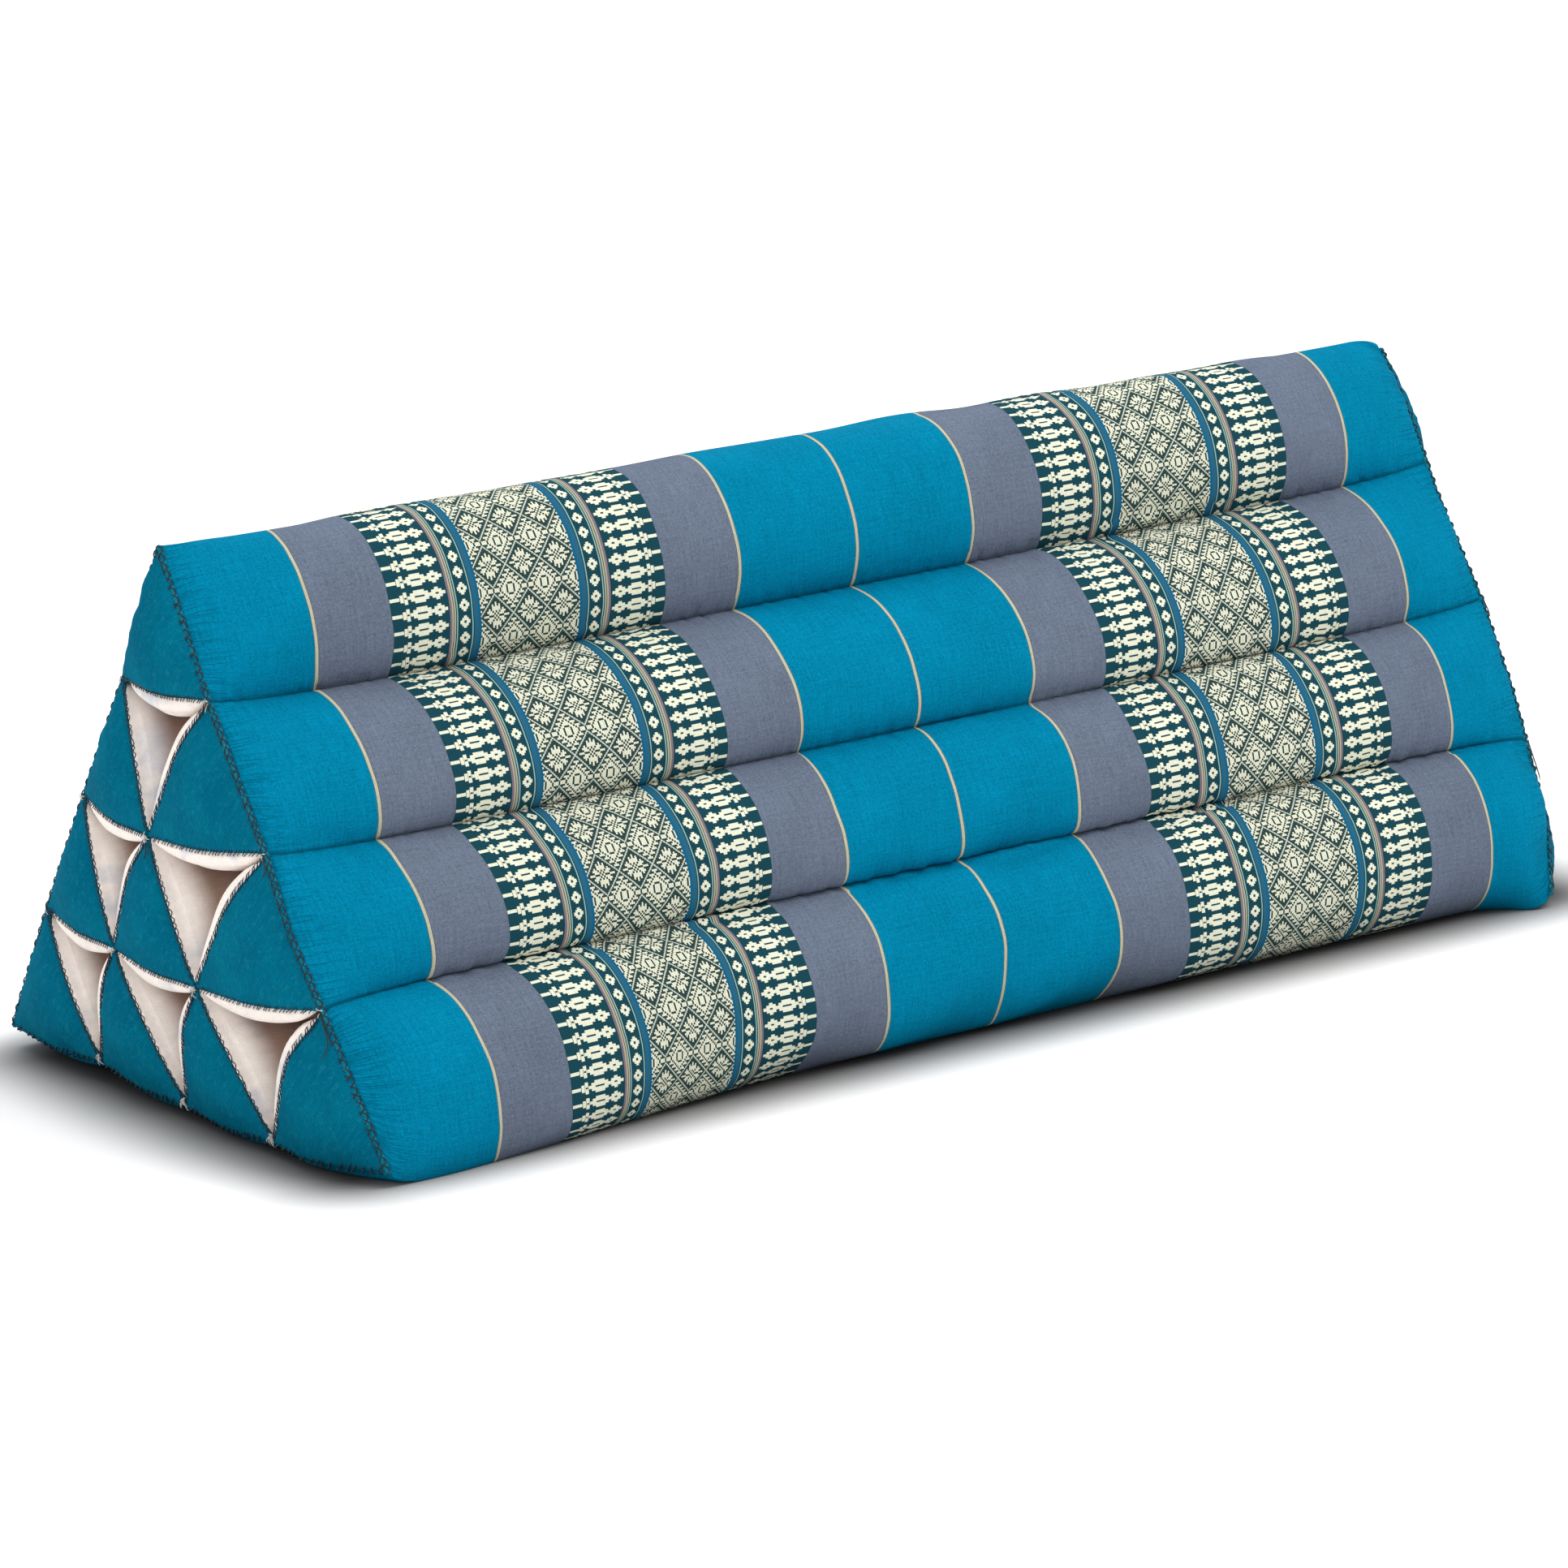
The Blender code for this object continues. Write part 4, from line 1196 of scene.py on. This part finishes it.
@dataclass
class Sewing:
    """Hand sewing at both ends: whip stitches, crossed and laced edges, loose ends and frayed tips."""

    stack: Stack
    caps: Caps
    tubes: Tubes
    dark: bpy.types.Material
    navy: bpy.types.Material
    white: bpy.types.Material
    roll: bpy.types.Material
    whip_pitch: float = 0.0023
    base_pitch: float = 0.0050
    cross_pitch: float = 0.0040
    thread: float = 0.00040          # radius
    lace_pitch: float = 0.0043
    lace_turn: float = 1.05          # how far round the roll the strands swing, as an angle
    roll_radius: float = 0.00150
    roll_bead: float = 0.13
    fray_threads: int = 9
    sides: int = 6
    cross_swing: float = 0.0011
    cross_band: tuple[float, float] = (-0.0001, -0.0027)    # distances from the edge that the strands keep to
    # Whip stitches: distance in from the edge and height over the cap, step by step
    base_whip: tuple[tuple[float, float], ...] = (
        (0.0030, -0.0003), (0.0015, 0.0007), (0.0, 0.0010), (-0.0012, -0.0002), (-0.0022, -0.0040))
    hollow_whip: tuple[tuple[float, float], ...] = (
        (0.0019, -0.0003), (0.0010, 0.0004), (0.0, 0.0006), (-0.0009, 0.0006), (-0.0018, -0.0003))
    # Loose ends: row and place of the cap, lean and length
    loose: tuple[tuple[int, int, float, float], ...] = (
        (3, 0, -0.42, 0.020), (3, 0, 0.35, 0.012), (3, 1, 0.30, 0.015), (2, 1, -0.30, 0.011),
        (1, 0, 0.25, 0.009), (3, 2, 0.38, 0.014), (2, 0, -0.40, 0.010))

    def tube_along(self, paths: np.ndarray, radius: float | np.ndarray,
                   taper: float = 0.35) -> tuple[np.ndarray, np.ndarray, np.ndarray]:
        """Carry a circle along many paths at once.

        Each path's tangent is its central difference. The circle lies in the plane of two vectors that are
        square to the tangent.

        Args:
            paths: Points as (path, step, xyz).
            radius: Radius of the thread, or one for each step.
            taper: Share of the radius that both tips keep.

        Returns:
            Points, quads and cloth coordinates.
        """
        count, length = paths.shape[:2]
        tangent = unit(np.gradient(paths, axis=1))
        along_x, along_y = np.eye(3)[:2]
        helper = np.where(np.abs(tangent[..., :1]) > 0.8, along_y, along_x)
        side = unit(np.cross(tangent, helper))
        up = np.cross(side, tangent)
        angle = np.arange(self.sides) / self.sides * 2 * np.pi
        thickness = np.broadcast_to(radius, (length,)).astype(float).copy()
        thickness[[0, -1]] *= taper
        ring = (np.cos(angle)[:, None] * side[:, :, None] + np.sin(angle)[:, None] * up[:, :, None])
        points = paths[:, :, None] + ring * thickness[None, :, None, None]
        points[..., 2] = np.maximum(points[..., 2], 0.0)
        faces = grid_faces(length, self.sides, wrap=True)
        offsets = np.arange(count) * length * self.sides
        faces = (faces[None] + offsets[:, None, None]).reshape(-1, 4)
        steps = np.linalg.norm(np.diff(paths, axis=1), axis=2)
        run = np.concatenate([np.zeros((count, 1)), np.cumsum(steps, axis=1)], axis=1)
        uv = np.stack(np.broadcast_arrays(run[..., None], (angle / (2 * np.pi))[None, None, :]), axis=-1)
        return points.reshape(-1, 3), faces, uv.reshape(-1, 2)

    def edge_points(self, row: int, place: int, side: int, shares: np.ndarray, end: End,
                    inside: float) -> np.ndarray:
        """Return points on a cap near one of its sides.

        Args:
            row: Row of the tube.
            place: Place in the row.
            side: 0 for the front side, 1 for the bottom, 2 for the back.
            shares: Places from 0 to 1 along the side.
            end: Which end of the cushion.
            inside: Distance in from the edge, in metres, or out of it where negative.
        """
        kept = max(inside, 0.0) / (self.stack.height / self.stack.rows)
        weights = np.zeros((len(shares), 3))
        weights[:, side] = (1 - shares) * (1 - kept)
        weights[:, (side + 1) % 3] = shares * (1 - kept)
        weights[:, (side + 2) % 3] = kept
        points = self.caps.surface(row, place, weights, end)
        if inside < 0:
            at_end = np.array([end.value * self.stack.half_length])
            corners = self.stack.corners(row, place, at_end)
            points[:, 1:] -= inside * Wall(corners[side], corners[(side + 1) % 3]).outward
            if not self.stack.covered(row, place)[side]:
                proud = self.stack.dome(points[:, 1:]) + self.tubes.lip_height(side, -inside)
                points[:, 0] = end.value * (self.stack.half_length + proud)
        return points

    def whip(self, row: int, place: int, side: int, end: End) -> np.ndarray:
        """Return the paths of the whip stitches along one side of a cap.

        Each stitch rises from the cap, slants over the edge and goes down on the casing beside it. Those of
        the base are longer, further apart and more slanted.
        """
        width = self.stack.base_width / self.stack.rows
        covered = self.stack.covered(row, place)[side]
        count = int(0.92 * width / (self.base_pitch if covered else self.whip_pitch))
        random = np.random.default_rng(900 + 100 * row + 10 * place + side + 5 * end.value)
        starts = 0.04 + 0.92 * (np.arange(count) + 0.5 + random.uniform(-0.28, 0.28, count)) / count
        slant = (0.75 if covered else 0.80) * 0.92 / count
        slants = slant * random.uniform(0.6, 1.4, count)
        path = []
        for step, (inside, height) in enumerate(self.base_whip if covered else self.hollow_whip):
            shares = np.clip(starts + slants * (step - 2) / 2, 0.0, 1.0)
            points = self.edge_points(row, place, side, shares, end, inside)
            points[:, 0] += end.value * height
            path.append(points)
        return np.stack(path, axis=1)

    def crossed(self, row: int, place: int, side: int, end: End) -> np.ndarray:
        """Return the two strands that cross each other along one side of a cap.

        A strand's distance in from the edge is a sine of its way along, so it passes from the cap to the
        casing and back, half a turn apart from the other one.
        """
        width = self.stack.base_width / self.stack.rows
        count = int(round(0.90 * width / self.cross_pitch))
        t = np.linspace(0.0, 1.0, count * 8 + 1)
        strands = []
        for strand in (0, 1):
            phase = np.pi * (t * count + strand) + 0.5 * ripple(t, 0.2, 60 + strand + 7 * row + place)
            swing = self.cross_swing * np.sin(phase)
            shares = 0.05 + 0.90 * t
            inner, outer = [self.edge_points(row, place, side, shares, end, inside)
                            for inside in self.cross_band]
            share = (0.5 + swing / (2 * self.cross_swing))[:, None]
            path = outer + (inner - outer) * share
            path[:, 0] += end.value * (0.0008 + 0.0002 * np.cos(phase) * (1 if strand else -1))
            strands.append(path)
        return np.stack(strands)

    def lace_frame(self, side: int, end: End) -> tuple[np.ndarray, np.ndarray, np.ndarray, np.ndarray]:
        """Return a slope's steps from 0 to 1, the middle line of its roll, and its two directions.

        The first direction crosses the roll and the second points out of it.
        """
        count = int(round(math.hypot(self.stack.base_width / 2, self.stack.height) / self.lace_pitch))
        t = np.linspace(0.0, 1.0, count * 10 + 1)
        sign = -1 if side == 0 else 1
        outward = unit(np.array([0.0, sign * self.stack.height, self.stack.base_width / 2]))
        forward = np.array([end.value, 0.0, 0.0])
        return (t, self.slope_line(t, sign, end) - outward * 0.0008, unit(outward * 0.75 - forward * 0.66),
                unit(outward * 0.66 + forward * 0.75))

    def lacing(self, side: int, end: End) -> np.ndarray:
        """Return the two strands of the lacing down one slope's end seam.

        The strands swing from side to side over the roll, half a turn apart, so that they cross at every
        pitch, and one of them passes over at each crossing.
        """
        t, spine, across, proud = self.lace_frame(side, end)
        count = (len(t) - 1) // 10
        slope = math.hypot(self.stack.base_width / 2, self.stack.height)
        strands = []
        for strand in (0, 1):
            phase = np.pi * (t * count + strand) + 0.35 * ripple(t * slope, 0.03, 77 + strand)
            turn = self.lace_turn * (1 + 0.12 * ripple(t * slope, 0.02, 70 + side)) * np.sin(phase)
            over = 0.0003 * np.cos(phase) * (1 if strand else -1)
            radius = (self.roll_radius + self.thread * 0.6 + over)[:, None]
            around = np.sin(turn)[:, None] * across + np.cos(turn)[:, None] * proud
            strands.append(spine + radius * around)
        return np.stack(strands)

    def edge_roll(self, end: End) -> tuple[np.ndarray, np.ndarray, np.ndarray]:
        """Return the roll of cap cloth under the lacing of both slopes, puffed between the crossings."""
        rolls = []
        for side in (0, 2):
            t, spine, _, _ = self.lace_frame(side, end)
            count = (len(t) - 1) // 10
            bead = self.roll_bead * np.cos(2 * np.pi * t * count)
            rough = 0.10 * ripple(t, 0.05, 31 + side)
            rolls.append((spine, self.roll_radius * (1 + bead + rough)))
        parts = [self.tube_along(spine[None], radius, 0.8) for spine, radius in rolls]
        points = np.concatenate([part[0] for part in parts])
        faces = np.concatenate([parts[0][1], parts[1][1] + len(parts[0][0])])
        return points, faces, np.concatenate([part[2] for part in parts])

    def frays(self, end: End) -> np.ndarray:
        """Return the short fibres of the frayed white tips at the nodes, each a bent line on the end."""
        random = np.random.default_rng(41 + end.value)
        paths = []
        t = np.linspace(0.0, 1.0, 6)[:, None]
        for row in range(1, self.stack.rows + 1):
            for place in range(row + 1):
                at_end = np.array([end.value * self.stack.half_length])
                node = self.stack.seam(row, place, at_end)[0]
                if row == self.stack.rows and place in (0, row):
                    continue
                on_slope, at_base = place in (0, row), row == self.stack.rows
                middle = -np.pi / 2 + (0.9 if place == 0 else -0.9) * on_slope
                for _ in range(self.fray_threads // (3 if on_slope else 1) + 6 * at_base):
                    heading = middle + random.normal(0, 0.5 if at_base else 1.3 - 0.7 * on_slope)
                    aim = np.array([math.cos(heading), math.sin(heading)])
                    bend = np.array([-aim[1], aim[0]]) * random.uniform(-0.4, 0.4)
                    length = random.uniform(0.0012, 0.0040)
                    length *= 1.4 if at_base or random.random() < 0.1 else 1.0
                    root = node + (0.0, 0.0045 * at_base) + random.normal(0, 0.0006, 2)
                    flat = root + length * (aim * t + bend * t**2)
                    proud = 0.0026 + random.uniform(0.0, 0.0014) * np.sin(np.pi * t[:, 0])
                    x = self.stack.half_length + self.stack.dome(flat) + proud
                    paths.append(np.column_stack([end.value * x, flat]))
        return np.stack(paths)

    def loose_ends(self, end: End) -> np.ndarray:
        """Return the loose thread ends, which hang from the tips over the caps and follow their face."""
        t = np.linspace(0.0, 1.0, 10)
        paths = []
        for row, place, lean, length in self.loose:
            down = t * length / (self.stack.height / self.stack.rows)
            share = 0.5 + lean * np.sin(2.2 * t + 0.3)
            weights = np.stack([1 - down, down * (1 - share), down * share], axis=1)
            path = self.caps.surface(row, place, weights, end)
            path[:, 0] += end.value * (0.0008 + 0.0012 * t)
            paths.append(path)
        return np.stack(paths)

    def slope_line(self, t: np.ndarray, sign: int, end: End) -> np.ndarray:
        """Return the line where the cover meets the caps, from the ridge down one slope."""
        at_end = np.array([end.value * self.stack.half_length])
        rows = range(self.stack.rows + 1)
        nodes = np.array([self.stack.seam(row, 0 if sign < 0 else row, at_end)[0] for row in rows])
        places = np.linspace(0, 1, len(nodes))
        y, z = np.interp(t, places, nodes[:, 0]), np.interp(t, places, nodes[:, 1])
        x = self.stack.half_length + self.stack.cloth * 0.5
        return np.column_stack([np.full(len(t), end.value * x), y, z])

    def build(self) -> None:
        """Make the sewing of both ends."""
        sides = [(row, place, side, covered) for row, place in self.stack.tubes()
                 for side, covered in enumerate(self.stack.covered(row, place))]
        along_base = [edge[:3] for edge in sides if edge[3] and edge[2] == 1]
        fronts = [edge[:3] for edge in sides if not edge[3] and edge[2] == 0]
        others = [edge[:3] for edge in sides if not edge[3] and edge[2] != 0]
        for end in End:
            name = end.name.lower()
            points, faces, uv = self.edge_roll(end)
            make_piece(f"edge_roll_{name}", self.stack.tucked(points), [faces], self.roll, Slot.CAP, uv)
            threads = (
                ("lacing", [self.lacing(0, end), self.lacing(2, end)], 0.85, self.navy),
                ("hollow_stitches", [self.whip(*edge, end) for edge in others], 0.70, self.navy),
                ("base_stitches", [self.whip(*edge, end) for edge in along_base], 1.0, self.navy),
                ("loose_ends", [self.loose_ends(end)], 0.80, self.dark),
                ("frayed_tips", [self.frays(end)], 0.62, self.white),
                ("crossed_stitches", [self.crossed(*edge, end) for edge in fronts], 0.60, self.dark))
            for kind, paths, share, finish in threads:
                run = self.stack.tucked(np.concatenate(paths))
                points, faces, uv = self.tube_along(run, self.thread * share)
                make_piece(f"{kind}_{name}", points, [faces], finish, Slot.CAP, uv)


# Studio


@dataclass
class Studio:
    """Pale floor with a painted contact shadow, soft light and the camera."""

    camera_place: Place = (-2.2893, -3.1636, 1.1335)
    azimuth: float = 35.684          # degrees to the left of the front
    elevation: float = 14.808
    roll: float = -1.703
    lens: float = 180.72
    floor_size: float = 60.0
    floor_colour: Colour = (0.93, 0.93, 0.93)
    floor_painted_shadow: Colour = (0.060, 0.060, 0.060)     # painted contact shadow, close round the base
    painted_shadow_from: tuple[float, float] = (0.372, 0.132)
    painted_shadow_reach: float = 0.075
    world_power: float = 0.70
    # Lights: name, place, size, power and target
    lights: tuple[tuple[str, Place, float, float, Place], ...] = (
        ("key light", (1.2, -1.6, 3.2), 2.2, 75.0, (0.0, 0.0, 0.12)),
        ("top light", (-0.6, 1.2, 3.4), 2.6, 45.0, (0.0, 0.0, 0.12)),
        ("floor light", (1.8, 3.4, 2.6), 2.0, 26.0, (1.5, 2.5, 0.0)),
        ("side light", (-3.4, -0.6, 1.7), 2.0, 24.0, (0.0, 0.0, 0.12)))

    def floor(self) -> None:
        """Lay the floor, with a contact shadow painted in its colour round the cushion's base."""
        half = self.floor_size / 2
        corners = np.array([[-half, -half, 0], [half, -half, 0], [half, half, 0], [-half, half, 0]])
        mesh = bpy.data.meshes.new("floor")
        mesh.from_pydata(corners.tolist(), [], [[0, 1, 2, 3]])
        g = Graph("floor paint", 0.9, Specular_IOR_Level=0.0)
        places = zip(g.place(), self.painted_shadow_from)
        past_end, past_side = [(abs(place) - start).either(0.0) for place, start in places]
        gap = g.num("ShaderNodeMath", {"operation": "SQRT"}, {0: past_end * past_end + past_side * past_side})
        # painted shadow: the floor darkens towards the cushion's footprint
        shade = g.mix(gap.smooth(0.0, self.painted_shadow_reach), self.floor_painted_shadow, self.floor_colour)
        mesh.materials.append(g.finish(shade))
        floor = add_object("floor", mesh)

    @staticmethod
    def light(name: str, place: Place, size: float, power: float, target: Place) -> None:
        """Hang one square soft light that faces a target."""
        data = bpy.data.lights.new(name, "AREA")
        data.shape = "SQUARE"
        data.size = size
        data.energy = power
        lamp = add_object(name, data)
        lamp.location = place
        aim = Vector(target) - Vector(place)
        lamp.rotation_euler = aim.to_track_quat("-Z", "Y").to_euler()

    def camera(self) -> None:
        """Set up the camera from its place, its direction and its roll."""
        data = bpy.data.cameras.new("camera")
        data.lens = self.lens
        data.sensor_width = 36.0
        data.clip_start, data.clip_end = 0.1, 100.0
        camera = add_object("camera", data)
        camera.location = self.camera_place
        camera.rotation_mode = "XYZ"
        tilt = Matrix.Rotation(math.radians(90 - self.elevation), 4, "X")
        turn = Matrix.Rotation(math.radians(-self.azimuth), 4, "Z")
        roll = Matrix.Rotation(math.radians(self.roll), 4, "Z")
        camera.rotation_euler = (turn @ tilt @ roll).to_euler()
        bpy.context.scene.camera = camera

    def world(self) -> None:
        """Fill the room with even white light."""
        world = bpy.data.worlds.new("studio")
        world.use_nodes = True
        background = world.node_tree.nodes["Background"]
        background.inputs["Color"].default_value = (1.0, 1.0, 1.0, 1.0)
        background.inputs["Strength"].default_value = self.world_power
        bpy.context.scene.world = world

    def build(self) -> None:
        """Set up the studio."""
        self.floor()
        self.world()
        for lamp in self.lights:
            self.light(*lamp)
        self.camera()
        bpy.context.scene.view_settings.view_transform = "Standard"


def main() -> None:
    """Build the cushion and its studio."""
    logging.basicConfig(level=logging.INFO, format="%(name)s: %(message)s")
    stack = Stack()
    cover = CoverWeave().material()
    cap = DyedCotton().material()
    roll = DyedCotton("edge cotton", (0.004, 0.165, 0.245), (0.020, 0.215, 0.290)).material()
    cotton = UndyedCotton().material()
    dark = SewingThread("dark thread", (0.010, 0.011, 0.016), (0.040, 0.032, 0.034)).material()
    navy = SewingThread("navy thread", (0.002, 0.014, 0.030), (0.008, 0.045, 0.075)).material()
    white = SewingThread("white thread", (0.600, 0.560, 0.520), (0.850, 0.820, 0.800)).material()
    Cover(stack, cover).build()
    tubes = Tubes(stack, cotton)
    tubes.build()
    caps = Caps(stack, cap)
    caps.build()
    Sewing(stack, caps, tubes, dark, navy, white, roll).build()
    Studio().build()


if __name__ == "__main__":
    main()
